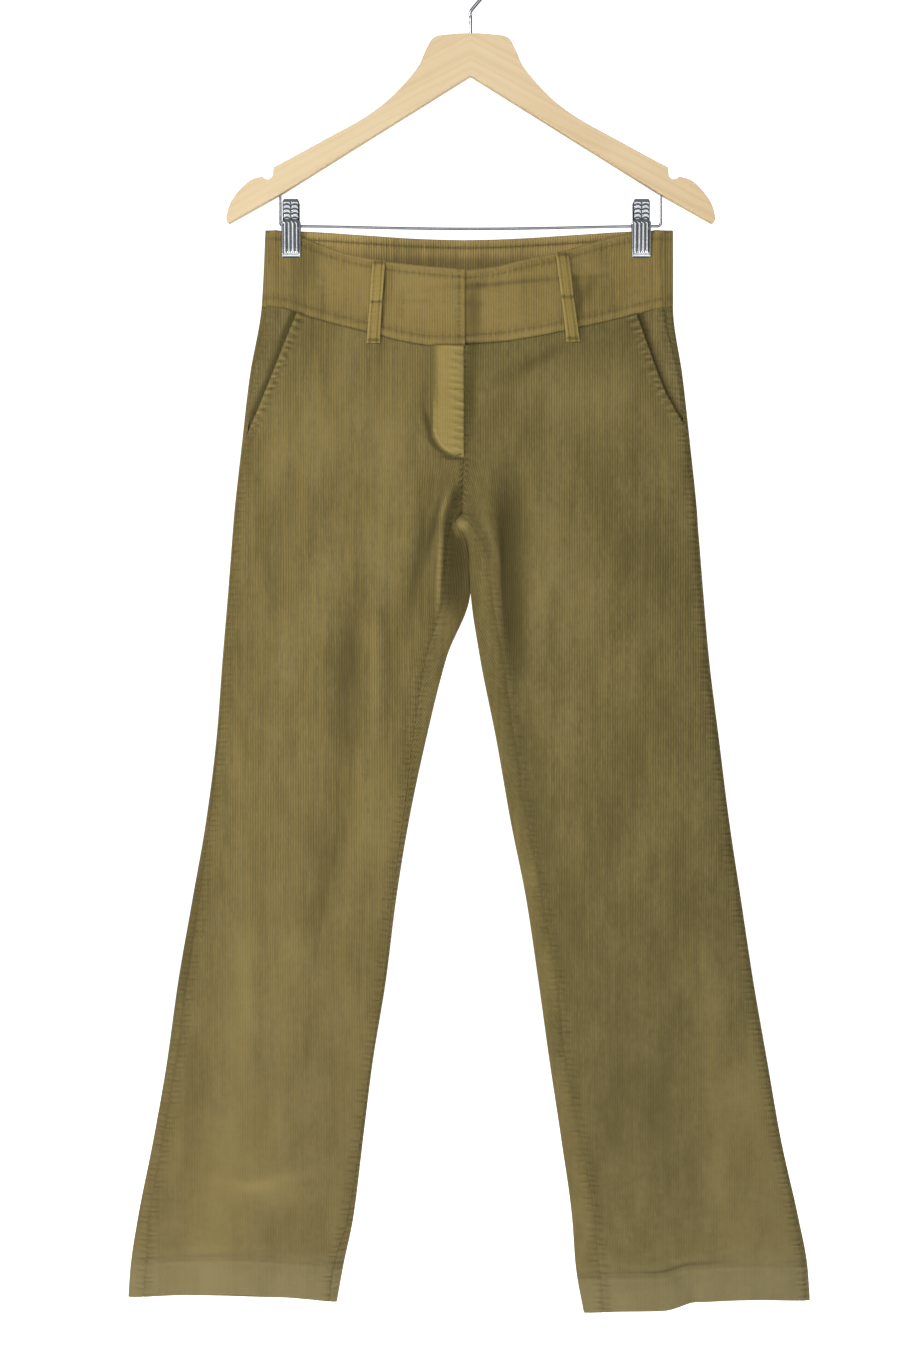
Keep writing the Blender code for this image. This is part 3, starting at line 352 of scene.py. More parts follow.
@lru_cache(maxsize=None)
def column_of(rows: tuple, column: str) -> tuple[Array, Array, Array]:
    """Keys, values and slopes of one column of a table.

    Args:
        rows: the table.
        column: the column's name.

    Returns:
        The keys, the values, and slopes chosen so that the curve never overshoots.
    """
    keys = np.array([row[0] for row in rows], dtype=float)
    values = np.array([getattr(row, column) for row in rows], dtype=float)
    chords = np.diff(values) / np.diff(keys)
    before, after = chords[:-1], chords[1:]
    slopes = np.zeros(len(keys))
    slopes[0], slopes[-1] = chords[0], chords[-1]
    same_way = before * after > 0
    total = np.where(same_way, before + after, 1.0)
    slopes[1:-1] = np.where(same_way, 2 * before * after / total, 0.0)
    return keys, values, slopes


def read(rows: tuple, column: str, at: Union[float, Array]) -> Array:
    """A table's column at any places.

    Args:
        rows: the table.
        column: the column's name.
        at: the places, in the table's first column.

    Returns:
        The values on a smooth curve through the rows.
    """
    keys, values, slopes = column_of(rows, column)
    at = np.clip(at, keys[0], keys[-1])
    i = np.clip(np.searchsorted(keys, at) - 1, 0, len(keys) - 2)
    step = keys[i + 1] - keys[i]
    u = (at - keys[i]) / step
    return (
        values[i] * (2 * u**3 - 3 * u**2 + 1)
        + slopes[i] * step * (u**3 - 2 * u**2 + u)
        + values[i + 1] * (3 * u**2 - 2 * u**3)
        + slopes[i + 1] * step * (u**3 - u**2)
    )


def smooth_step(low: float, high: float, at: Union[float, Array]) -> Array:
    """A soft ramp of the places, from 0 at low to 1 at high."""
    u = np.clip((np.asarray(at, dtype=float) - low) / (high - low), 0.0, 1.0)
    return u * u * (3 - 2 * u)


def bump_at(at: Array, centre: float, width: float) -> Array:
    """A bell of height 1 round a centre, read at the places."""
    return np.exp(-(((at - centre) / width) ** 2))


def ripple_noise(x: Array, y: Array, size: float, seed: int) -> Array:
    """Smooth unevenness made of a few crossing waves, the same in every run.

    Args:
        x: places across.
        y: places down.
        size: the typical length of a wave.
        seed: which set of waves.

    Returns:
        Heights from about -1 to 1.
    """
    chance = np.random.default_rng(seed)
    total = np.zeros(np.broadcast(x, y).shape)
    for _ in range(7):
        angle, phase = chance.uniform(0, 2 * math.pi, 2)
        stretch = chance.uniform(0.6, 1.6)
        wave = (x * math.cos(angle) + y * math.sin(angle)) * 2 * math.pi / (size * stretch)
        total = total + np.sin(wave + phase)
    return total / 3.4


class ClothForm:
    """The one surface that every cloth piece lies on, worked out from the tables."""

    folds: tuple[Fold, ...] = MAIN_FOLDS + FINE_FOLDS

    def openness(self, face: Face, drop: Array) -> Array:
        """How far the two halves are joined in the middle.

        Args:
            face: front or back.
            drop: the places' drops.

        Returns:
            1 where they are joined, falling to 0 at the fork of the legs.
        """
        curve = FRONT_RISE_CURVE if face is Face.FRONT else SEAT_CURVE
        u = np.clip((np.asarray(drop, dtype=float) - FORK_DROP + curve) / curve, 0.0, 1.0)
        return np.sqrt(1 - u * u)

    def crossing(self, half: Half, drop: Array) -> Array:
        """How far a half's inner edge reaches past its own line at the fork.

        Args:
            half: the wearer's half.
            drop: the places' drops.

        Returns:
            The reach in x: the left half's rolled nose, or what the right half tucks behind it.
        """
        starts = smooth_step(*CROSSING_STARTS, drop)
        if half is Half.LEFT:
            return -NOSE_WIDTH * starts * bump_at(drop, NOSE_DROP, NOSE_HEIGHT)
        return TUCK_WIDTH * starts * smooth_step(*TUCK_GROWS, drop) * (1 - smooth_step(*TUCK_ENDS, drop))

    def section_ends(self, half: Half, drop: Array, face: Face, inset: Array) -> tuple[Array, Array, Array]:
        """The ends of one half's section.

        Args:
            half: the wearer's half.
            drop: the places' drops.
            face: front or back.
            inset: how far in from the outer surface.

        Returns:
            x of the inner end, x of the outer edge, and the openness there.
        """
        side = half.value
        opened = self.openness(face, drop + inset)
        inner = read(LEVELS, half.word + "_inner", drop) + self.crossing(half, drop)
        inner = inner + side * (inset * (1 - opened) + SEAM_GAP / 2)
        outer = read(LEVELS, half.word + "_edge", drop) - side * inset
        return inner, outer, opened

    def pinched_depth(self, face: Face, x: Array) -> Array:
        """Depth of the cloth where the clips hold it.

        Args:
            face: front or back.
            x: the places across.

        Returns:
            Thin at each clip, bowed between the clips and rolled outside them.
        """
        depth = np.zeros(np.shape(x))
        bow = FRONT_BOW if face is Face.FRONT else BACK_BOW
        for half in Half:
            side, clip = half.value, CLIP_X[half]
            reach = abs(clip - side * (CLIP_HALF_WIDTH + FLAT_ROUND_CLIP) - CENTRE_X)
            u = np.minimum(np.abs(x - CENTRE_X) / reach, 1.0)
            v = np.minimum(np.abs(x - clip - side * SIDE_ROLL_FROM_CLIP) / SIDE_ROLL_REACH, 1.0)
            here = PINCH_HALF + bow * (1 - u * u) ** 2 + SIDE_ROLL * (1 - v * v) ** 2
            depth = np.where((x < CENTRE_X) == (side < 0), here, depth)
        return depth

    def fold_height(self, face: Face, x: Array, drop: Array) -> Array:
        """The ridges and troughs.

        Args:
            face: front or back.
            x: the places across.
            drop: the places' drops.

        Returns:
            Their summed height at each place.
        """
        total = np.zeros(np.broadcast(x, drop).shape)
        for fold in self.folds:
            if fold.face is not face:
                continue
            along_x = fold.end_x - fold.start_x
            along_drop = fold.end_drop - fold.start_drop
            length = math.hypot(along_x, along_drop)
            u = ((x - fold.start_x) * along_x + (drop - fold.start_drop) * along_drop) / length**2
            off = ((x - fold.start_x) * along_drop - (drop - fold.start_drop) * along_x) / length
            fade = smooth_step(-FOLD_FADE, FOLD_FADE, u) * smooth_step(-FOLD_FADE, FOLD_FADE, 1 - u)
            total = total + fold.height * fade * np.exp(-((off / fold.width) ** 2))
        return total

    def unevenness(self, face: Face, x: Array, drop: Array) -> Array:
        """The small waves that cloth has everywhere.

        Args:
            face: front or back.
            x: the places across.
            drop: the places' drops.

        Returns:
            Their height at each place.
        """
        seed = 3 if face is Face.FRONT else 8
        below_waist = smooth_step(330, 420, drop)
        slow = ripple_noise(x, drop * 0.5, 70.0, seed)
        quick = ripple_noise(x, drop * 0.4, 24.0, seed + 1)
        return below_waist * (0.55 * slow + 0.16 * quick) + (1 - below_waist) * 0.12 * quick

    def surface(self, half: Half, face: Face, drop: Array, x: Array, inset: Union[float, Array] = 0.0) -> Array:
        """Points of one half's front or back surface.

        Args:
            half: the wearer's half.
            face: front or back.
            drop: the places' drops.
            x: the places across.
            inset: how far in from the outer surface, or out from it below 0.

        Returns:
            The points, in millimetres, in a last axis of three.
        """
        drop, x, inset = np.broadcast_arrays(drop, x, inset)
        inner, outer, opened = self.section_ends(half, drop, face, inset)
        t = np.clip(1 - 2 * (x - inner) / (outer - inner), -1.0, 1.0)
        closing = (1 - np.abs(t) ** SECTION_POWER) ** (1 / SECTION_POWER)
        rounding = np.where(t > 0, opened + (1 - opened) * closing, closing)
        deep = read(LEVELS, face.value + "_depth", drop) - inset
        pinch = 1 - smooth_step(PINCH_END, PINCH_FADES_BY, drop)
        end = np.where(t < 0, np.sqrt(1 - np.abs(t) ** PINCHED_END_POWER), 1.0)
        thin = (self.pinched_depth(face, x) - inset) * end
        depth = pinch * thin + (1 - pinch) * deep * rounding
        fade = np.where(t < 0, 1 - np.abs(t) ** 6, 1 - (1 - opened) * np.abs(t) ** 6)
        depth = depth + (self.fold_height(face, x, drop) + self.unevenness(face, x, drop)) * fade
        sign = -1.0 if face is Face.FRONT else 1.0
        level = smooth_step(*SHIFT_GROWS, drop) * (1 - smooth_step(*SHIFT_ENDS, drop))
        shift = half.value * CROSSING_SHIFT * level * (1 - smooth_step(8.0, CROSSING_REACH, np.abs(x - inner)))
        return np.stack([x, sign * depth - shift, -drop], axis=-1)

    def both_halves(self, face: Face, drop: Array, x: Array, inset: Union[float, Array]) -> Array:
        """Points of a face, each on the half that x lies in."""
        right, left = (self.surface(half, face, drop, x, inset) for half in Half)
        return np.where((x < CENTRE_X)[..., None], right, left)

    def skin(self, half: Half, drop: Array, s: Array, inset: Union[float, Array] = 0.0) -> Array:
        """Points round one half.

        Args:
            half: the wearer's half.
            drop: the places' drops.
            s: the places round: 0 at the inner end in front, 1 at the outer edge, 2 behind, then in front again.
            inset: how far in from the outer surface.

        Returns:
            The points, in millimetres, in a last axis of three.
        """
        drop, s, inset = np.broadcast_arrays(drop, s, inset)
        share = (1 - np.cos(math.pi * s)) / 2
        points = {}
        for face in Face:
            inner, outer, _ = self.section_ends(half, drop, face, inset)
            points[face] = self.surface(half, face, drop, inner + (outer - inner) * share, inset)
        behind = ((s > 1) & (s <= 2))[..., None]
        return np.where(behind, points[Face.BACK], points[Face.FRONT])

    def place_of(self, half: Half, drop: Array, x: Array) -> Array:
        """s of the front surface at x.

        Args:
            half: the wearer's half.
            drop: the places' drops.
            x: the places across.

        Returns:
            The places round.
        """
        inner, outer, _ = self.section_ends(half, np.asarray(drop, dtype=float), Face.FRONT, 0.0)
        share = np.clip((x - inner) / (outer - inner), 0.0, 1.0)
        return np.arccos(1 - 2 * share) / math.pi

    def side_seam_x(self, half: Half, drop: Array) -> Array:
        """x of the side seam at each drop."""
        edge = read(LEVELS, half.word + "_edge", drop)
        return edge - half.value * read(LEVELS, half.word + "_side_in", drop)

    def inseam_x(self, half: Half, drop: Array) -> Array:
        """x of the inseam at each drop, and of the middle above the fork."""
        edge = read(LEVELS, half.word + "_inner", drop)
        return edge + half.value * read(LEVELS, half.word + "_inseam_in", drop)

    def side_seam(self, half: Half, drop: Array) -> Array:
        """s of the side seam at each drop."""
        return self.place_of(half, drop, self.side_seam_x(half, drop))

    def inner_seam(self, half: Half, drop: Array) -> Array:
        """s of the inseam at each drop, 0 above the fork."""
        below = self.place_of(half, drop, self.inseam_x(half, drop))
        return np.where(np.asarray(drop) <= FORK_DROP, 0.0, below)

    def pocket_edge(self, half: Half, drop: Array) -> Array:
        """s of the front panel's outer edge: the slanted pocket edge, and the side seam below it."""
        slanted = self.place_of(half, drop, read(POCKET_EDGES, half.word + "_x", drop))
        seam = self.side_seam(half, drop)
        return np.where(np.asarray(drop) >= POCKET_FOOT[half], seam, np.minimum(slanted, seam))

    def back_end(self, half: Half, drop: Array) -> Array:
        """s of the back panel's far edge: the seat seam, and the inseam below the fork."""
        return 2.0 + self.inner_seam(half, drop)

    def line_drop(self, half: Half, s: Array, line: Line) -> Array:
        """Drop of the band's top, the waist seam or the hem.

        Args:
            half: the wearer's half.
            s: the places round.
            line: which line.

        Returns:
            The drops at those places.
        """
        across = (1 - np.cos(math.pi * np.asarray(s, dtype=float))) / 2
        behind = (np.asarray(s) > 1) & (np.asarray(s) <= 2)
        if line is Line.HEM:
            front = read(HEM_LINES, half.word + "_front", across)
            back = read(HEM_LINES, half.word + "_back", across)
        else:
            front = read(WAIST_LINES, f"{half.word}_{line.value}", across)
            back = read(WAIST_LINES, f"back_{line.value}", across)
        return np.where(behind, back, front)

    def panel_drop(self, half: Half, row_drop: Array, s: Array, top: float) -> Array:
        """Drops along a leg panel's rows.

        Args:
            half: the wearer's half.
            row_drop: the rows' own drops.
            s: the places round.
            top: drop of the first row.

        Returns:
            The drops: the top row follows the waist seam and the last one the hem.
        """
        bend = 1 - smooth_step(top, TOP_FADES_BY, row_drop)
        drop = row_drop + bend * (self.line_drop(half, s, Line.SEAM) + SEAM_EASE - top)
        give = smooth_step(HEM_TAKES_FROM, FRONT_FOOT, row_drop)
        return drop + give * (self.line_drop(half, s, Line.HEM) - FRONT_FOOT)

    def settled(self, edge: Callable[[Half, Array], Array], half: Half, row_drop: Array, top: float) -> Array:
        """Places of a panel's edge on its bent rows.

        Args:
            edge: gives the edge's place at a drop.
            half: the wearer's half.
            row_drop: the rows' own drops.
            top: drop of the first row.

        Returns:
            The edge's place on each row.
        """
        s = edge(half, row_drop)
        for _ in range(8):
            s = edge(half, self.panel_drop(half, row_drop, s, top))
        return s

    def nap(self, points: Array) -> Array:
        """How light the pile looks, with the painted shade and highlights of the patches.

        Args:
            points: places on the front of the cloth.

        Returns:
            About -1, dark, to 1, light.
        """
        x, drop = points[..., 0], -points[..., 2]
        total = np.zeros(x.shape)
        for patch in NAP_AND_SHADE_PATCHES:
            middle = patch.x + patch.lean * (drop - patch.drop)
            away = ((x - middle) / patch.half_width) ** 2 + ((drop - patch.drop) / patch.half_height) ** 2
            total = total + patch.amount * np.exp(-away)
        return np.where(points[..., 1] <= 0, total, 0.4 * total)


FORM = ClothForm()


# ---------------------------------------------------------------- shaders

Number = Union[float, "Value"]


class Value:
    """A socket that gives a number, with arithmetic that adds Math nodes."""

    def __init__(self, kit: "Shader", socket: bpy.types.NodeSocket) -> None:
        """Wrap one output socket of a shader."""
        self.kit = kit
        self.socket = socket

    def __add__(self, other: Number) -> "Value":
        """This plus other."""
        return self.kit.math("ADD", self, other)

    def __radd__(self, other: Number) -> "Value":
        """Other plus this."""
        return self.kit.math("ADD", other, self)

    def __sub__(self, other: Number) -> "Value":
        """This less other."""
        return self.kit.math("SUBTRACT", self, other)

    def __rsub__(self, other: Number) -> "Value":
        """Other less this."""
        return self.kit.math("SUBTRACT", other, self)

    def __mul__(self, other: Number) -> "Value":
        """This times other."""
        return self.kit.math("MULTIPLY", self, other)

    def __rmul__(self, other: Number) -> "Value":
        """Other times this."""
        return self.kit.math("MULTIPLY", other, self)

    def __truediv__(self, other: Number) -> "Value":
        """This divided by other."""
        return self.kit.math("DIVIDE", self, other)

    def __pow__(self, other: Number) -> "Value":
        """This to a power."""
        return self.kit.math("POWER", self, other)

    def __neg__(self) -> "Value":
        """This with its sign turned."""
        return self.kit.math("MULTIPLY", self, -1.0)

    def __abs__(self) -> "Value":
        """This without its sign."""
        return self.kit.math("ABSOLUTE", self)

    def fraction(self) -> "Value":
        """What is left of this above its whole number."""
        return self.kit.math("FRACT", self)

    def whole(self) -> "Value":
        """The whole number at or under this."""
        return self.kit.math("FLOOR", self)

    def wave(self) -> "Value":
        """A sine that repeats each time this grows by 1, from -1 to 1."""
        return self.kit.math("SINE", self * (2 * math.pi))

    def ramp(self, low: float, high: float) -> "Value":
        """A soft ramp of this, from 0 at low to 1 at high."""
        settings = {"interpolation_type": "SMOOTHSTEP", "clamp": True}
        inputs = {"Value": self, "From Min": low, "From Max": high, "To Min": 0.0, "To Max": 1.0}
        return Value(self.kit, self.kit.node("ShaderNodeMapRange", settings, inputs).outputs["Result"])


Input = Union[float, Sequence[float], Value, bpy.types.NodeSocket]


class Shader:
    """A material under construction."""

    def __init__(self, name: str) -> None:
        """Start an empty material of that name."""
        self.material = bpy.data.materials.new(name)
        self.material.use_nodes = True
        self.tree = self.material.node_tree
        self.tree.nodes.clear()
        self.columns = 0

    def node(self, kind: str, settings: Optional[dict] = None, inputs: Optional[dict] = None) -> bpy.types.Node:
        """Add a node.

        Args:
            kind: the node's type.
            settings: its own settings, set first.
            inputs: values or links, by the socket's name or number.

        Returns:
            The new node.
        """
        added = self.tree.nodes.new(kind)
        self.columns += 1
        added.location = (160 * (self.columns % 24), -180 * (self.columns // 24))
        for key, value in (settings or {}).items():
            setattr(added, key, value)
        for key, value in (inputs or {}).items():
            self.feed(added.inputs[key], value)
        return added

    def feed(self, socket: bpy.types.NodeSocket, value: Input) -> None:
        """Link a socket or set its value.

        Args:
            socket: the socket that takes it.
            value: a number, a colour, a Value or another node's socket.
        """
        if isinstance(value, Value):
            self.tree.links.new(value.socket, socket)
        elif isinstance(value, bpy.types.NodeSocket):
            self.tree.links.new(value, socket)
        elif hasattr(value, "__len__") and len(value) == 3 and socket.type == "RGBA":
            socket.default_value = (*value, 1.0)
        else:
            socket.default_value = value

    def math(self, operation: str, *values: Number) -> Value:
        """The output of a new Math node, with its operation and its one or two inputs."""
        inputs = dict(enumerate(values))
        return Value(self, self.node("ShaderNodeMath", {"operation": operation}, inputs).outputs[0])

    def blend(self, share: Number, first: Input, second: Input, how: str = "MIX") -> bpy.types.NodeSocket:
        """Mix two colours.

        Args:
            share: how much of the second.
            first: a colour.
            second: a colour.
            how: the blend type.

        Returns:
            The mixed colour's socket.
        """
        mixed = self.node("ShaderNodeMix", {"data_type": "RGBA", "blend_type": how, "clamp_factor": True})
        self.feed(mixed.inputs[0], share)
        self.feed(mixed.inputs[6], first)
        self.feed(mixed.inputs[7], second)
        return mixed.outputs[2]

    def place(self) -> bpy.types.NodeSocket:
        """The point in the part's frame, in metres."""
        return self.node("ShaderNodeTexCoord").outputs["Object"]

    def stretched(self, vector: Input, scale: Sequence[float]) -> bpy.types.NodeSocket:
        """A vector with each axis multiplied by its own factor."""
        node = self.node("ShaderNodeVectorMath", {"operation": "MULTIPLY"}, {0: vector, 1: scale})
        return node.outputs["Vector"]

    def pair(self, across: Number, along: Number) -> bpy.types.NodeSocket:
        """Two numbers as one vector."""
        return self.node("ShaderNodeCombineXYZ", {}, {"X": across, "Y": along, "Z": 0.0}).outputs["Vector"]

    def map_of(self, name: str) -> tuple[Value, Value]:
        """The two numbers of a map of the mesh."""
        found = self.node("ShaderNodeUVMap", {"uv_map": name})
        split = self.node("ShaderNodeSeparateXYZ", {}, {"Vector": found.outputs["UV"]})
        return Value(self, split.outputs["X"]), Value(self, split.outputs["Y"])

    def noise(self, vector: Input, scale: float, detail: float = 2.0, rough: float = 0.5) -> Value:
        """Soft noise from 0 to 1 in that many lumps a unit, with finer layers of a given strength."""
        inputs = {"Vector": vector, "Scale": scale, "Detail": detail, "Roughness": rough}
        return Value(self, self.node("ShaderNodeTexNoise", {}, inputs).outputs["Fac"])

    def relief(self, height: Value, distance: float, strength: float = 1.0) -> bpy.types.NodeSocket:
        """A Bump node's normal, from a height of 0 to 1 and what a height of 1 is in metres."""
        inputs = {"Height": height, "Distance": distance, "Strength": strength}
        return self.node("ShaderNodeBump", {}, inputs).outputs["Normal"]

    def done(self, inputs: dict) -> bpy.types.Material:
        """Close the material.

        Args:
            inputs: values or links of the Principled shader's sockets.

        Returns:
            The finished material.
        """
        shader = self.node("ShaderNodeBsdfPrincipled", {}, inputs)
        self.node("ShaderNodeOutputMaterial", {}, {"Surface": shader.outputs["BSDF"]})
        return self.material


@dataclass(frozen=True)
class Finish:
    """A finish by name, mixed once."""

    name: str

    def mixed(self, kit: Shader) -> bpy.types.Material:
        """Mix the finish in an empty material."""
        return kit.done({})

    def material(self) -> bpy.types.Material:
        """The finish as a material."""
        return bpy.data.materials.get(self.name) or self.mixed(Shader(self.name))


class Ripple(NamedTuple):
    """A row of small puckers along a seam."""

    pitch: float
    reach: float
    depth: float
    slant: float = 0.0


@dataclass(frozen=True)
class Corduroy(Finish):
    """Fine corduroy: ridges along the grain, worn pile, seam puckers, painted shade and highlights."""

    # deep is the darkest pile, and also the painted shade in the grooves and the puckers' troughs; bright is light
    # pile and painted highlights.
    deep: Colour = (0.105, 0.081, 0.026)
    pile: Colour = (0.205, 0.159, 0.057)
    worn: Colour = (0.275, 0.220, 0.098)
    gold: Colour = (0.255, 0.187, 0.054)
    grey: Colour = (0.285, 0.245, 0.140)
    bright: Colour = (0.40, 0.315, 0.120)
    foot_shade: Colour = (0.83, 0.835, 0.90)
    # On the leg panels tint is painted light and shade: paler on the lit leg, darker on the other. inside_tint
    # multiplies the inner faces instead; on the back band it is painted light.
    tint: Colour = (1.0, 1.0, 1.0)
    inside_tint: Colour = (1.0, 1.0, 1.0)
    golden: float = 0.25
    mottle: float = 1.0
    crinkled: float = 0.25
    wale: float = 0.0023
    wale_height: float = 0.00042
    wear: float = 0.5
    faded_foot: float = 0.0
    inner_ripple: Optional[Ripple] = None
    outer_ripple: Optional[Ripple] = None
    top_ripple: Optional[Ripple] = None
    foot_ripple: Optional[Ripple] = None
    seed: float = 0.0

    def puckers(self, kit: Shader, ripple: Ripple, away: Value, along: Value) -> Value:
        """Height of one row of puckers.

        Args:
            kit: the material under construction.
            ripple: the row's sizes.
            away: distance from the seam, in metres.
            along: distance along the seam, in metres.

        Returns:
            The height, from 0 to the row's depth in tenths of a millimetre.
        """
        wander = kit.noise(kit.pair(along, self.seed + ripple.pitch), 55.0, 1.0)
        uneven = kit.noise(kit.pair(along, self.seed + 3.0), 130.0, 0.0).ramp(0.25, 0.65)
        phase = (along + away * ripple.slant) / ripple.pitch + wander * 1.6
        fade = 1.0 - away.ramp(ripple.reach * 0.25, ripple.reach)
        return (phase.wave() * 0.5 + 0.5) * fade * uneven * ripple.depth

    def mixed(self, kit: Shader) -> bpy.types.Material:
        """Mix the finish in an empty material.

        Args:
            kit: the empty material.

        Returns:
            The finished material.
        """
        across, along = kit.map_of(GRAIN)
        inner, outer = kit.map_of(SEAMS)
        from_top, from_foot = kit.map_of(LEVELS_MAP)
        # light: how light the pile looks, with painted shade and highlights; inside: 1 on the inner faces of closed
        # pieces.
        light, inside = kit.map_of(NAP_AND_SHADE)
        place = kit.place()
        shifted = kit.node("ShaderNodeVectorMath", {"operation": "ADD"}, {0: place, 1: (self.seed, 0.0, 0.0)})
        cloth = shifted.outputs["Vector"]

        broad = kit.noise(kit.stretched(cloth, (1.0, 1.0, 0.45)), 9.0, 3.0, 0.55)
        blotch = kit.noise(kit.stretched(cloth, (1.0, 1.0, 0.4)), 38.0, 3.0, 0.6)
        streak = kit.noise(kit.stretched(cloth, (1.0, 0.3, 0.045)), 260.0, 3.0, 0.65)
        cross = kit.noise(kit.stretched(cloth, (0.14, 0.3, 1.0)), 420.0, 1.0, 0.5)
        crease = kit.noise(kit.stretched(cloth, (1.0, 1.0, 1.5)), 105.0, 2.0, 0.6) - 0.5
        speck = kit.noise(cloth, 900.0, 2.0, 0.7)

        waver = kit.noise(kit.stretched(cloth, (1.0, 1.0, 0.5)), 24.0, 1.0)
        phase = (across + (waver - 0.5) * 0.0016) / self.wale
        ridge = 1.0 - abs(phase.fraction() * 2.0 - 1.0) ** 1.9
        dash = kit.noise(kit.pair(phase.whole() * 5.7, along * 130.0), 1.0, 2.0, 0.6) - 0.5
        wear = (broad * 1.1 + blotch * 1.1 - 1.1 + self.wear).ramp(0.0, 1.0)
        keep = 1.0 - wear * 0.75
        if self.faded_foot:
            rubbed = 1.0 - from_foot.ramp(0.03, 0.60)
            keep = keep * (1.0 - rubbed * 0.62)
            dash = dash * (1.0 - rubbed * 0.60)
            streak = 0.5 + (streak - 0.5) * (1.0 - rubbed * 0.6)
        tuft = kit.noise(kit.pair(across * 900.0, along * 330.0), 1.0, 1.0, 0.6)

        low = (1.0 - ridge) * keep
        tone = (broad * 0.9 + blotch * 0.75 + streak * 0.45 - 1.05) * self.mottle
        # light adds painted shade and highlights; crease darkens and lightens the colour with the crinkles that it
        # raises in the bump: painted shade.
        tone = tone + dash * 0.9 + light * 0.30 + crease * (1.3 * self.crinkled)
        base = kit.blend(tone.ramp(-0.42, 0.48), self.deep, self.worn)
        base = kit.blend(0.35, base, self.pile)
        gold = (broad * 0.5 + streak * 0.9 + light * 0.10 - 0.72 + self.golden).ramp(0.0, 0.7)
        base = kit.blend(gold, base, self.gold)
        # Painted shade in the grooves between the ridges.
        base = kit.blend(low * (0.80 + dash * 1.5), base, self.deep)
        base = kit.blend((cross - 0.35) * 0.30 * wear, base, self.worn)
        base = kit.blend((speck - 0.62).ramp(0.0, 0.2) * 0.35, base, self.worn)
        # Painted shade and highlights: light darkens the colour towards dark and lightens it towards bright.
        dark = kit.blend(0.55, self.deep, (0.0, 0.0, 0.0))
        base = kit.blend((-light).ramp(0.1, 1.3) * 0.55, base, dark)
        base = kit.blend(light.ramp(0.15, 1.7) * 0.5, base, self.bright)

        if self.faded_foot:
            base = kit.blend(rubbed, base, self.foot_shade, "MULTIPLY")
            base = kit.blend(self.faded_foot - from_foot.ramp(0.015, 0.055) * self.faded_foot, base, self.grey)
        height = ridge * keep + tuft * 0.30 + dash * 0.4 + (streak - 0.5) * 0.3 + (blotch - 0.5) * 0.7
        height = height + crease * (3.2 * self.crinkled)
        rows = (
            (self.inner_ripple, inner, along),
            (self.outer_ripple, outer, along),
            (self.top_ripple, from_top, across),
            (self.foot_ripple, from_foot, across),
        )
        for ripple, away, run in rows:
            if ripple is not None:
                row = self.puckers(kit, ripple, away, run)
                height = height + row
                # Painted shade in the troughs between the puckers.
                between = (1.0 - row / ripple.depth) * (1.0 - away.ramp(0.0, ripple.reach))
                base = kit.blend(between * 0.30, base, self.deep)
        # tint, and inside_tint on inner faces: painted light and shade on the leg panels and the back band.
        base = kit.blend(1.0, base, kit.blend(inside, self.tint, self.inside_tint), "MULTIPLY")
        rough = 0.9 - wear * 0.08 + (speck - 0.5) * 0.1
        return kit.done({
            "Base Color": base,
            "Roughness": rough,
            "Normal": kit.relief(height, self.wale_height),
            "Specular IOR Level": 0.18,
            "Sheen Weight": 0.24,
            "Sheen Roughness": 0.34,
            "Sheen Tint": (0.92, 0.84, 0.55),
        })


@dataclass(frozen=True)
class Thread(Finish):
    """Sewing thread, twisted."""

    colour: Colour = (0.215, 0.165, 0.062)
    shade: Colour = (0.115, 0.086, 0.028)

    def mixed(self, kit: Shader) -> bpy.types.Material:
        """Mix the finish in an empty material.

        Args:
            kit: the empty material.

        Returns:
            The finished material.
        """
        place = kit.place()
        patch = kit.noise(place, 60.0, 2.0)
        fibre = kit.noise(place, 5200.0, 1.0)
        base = kit.blend((patch * 0.7 + fibre * 0.5 - 0.1).ramp(0.1, 0.9), self.shade, self.colour)
        return kit.done({
            "Base Color": base,
            "Roughness": 0.62 + fibre * 0.2,
            "Normal": kit.relief(fibre, 0.0001),
            "Sheen Weight": 0.15,
            "Specular IOR Level": 0.3,
        })


@dataclass(frozen=True)
class Tape(Finish):
    """The zip's woven tape with its row of metal teeth."""

    tape: Colour = (0.10, 0.075, 0.032)
    light: Colour = (0.17, 0.13, 0.06)
    teeth: Colour = (0.55, 0.43, 0.22)

    def mixed(self, kit: Shader) -> bpy.types.Material:
        """Mix the finish in an empty material.

        Args:
            kit: the empty material.

        Returns:
            The finished material.
        """
        across, along = kit.map_of(GRAIN)
        middle, _ = kit.map_of(SEAMS)
        weave = kit.noise(kit.pair(across * 2600.0, along * 1500.0), 1.0, 1.0)
        twill = ((along + across) / 0.0009).wave() * 0.5 + 0.5
        teeth = 1.0 - middle.ramp(0.0026, 0.0031)
        cloth = kit.blend(weave * 0.5 + twill * 0.4, self.tape, self.light)
        base = kit.blend(teeth, cloth, self.teeth)
        height = (weave * 0.5 + twill * 0.5) * (1.0 - teeth)
        return kit.done({
            "Base Color": base,
            "Metallic": teeth,
            "Roughness": 0.85 - teeth * 0.5,
            "Normal": kit.relief(height, 0.00015),
        })


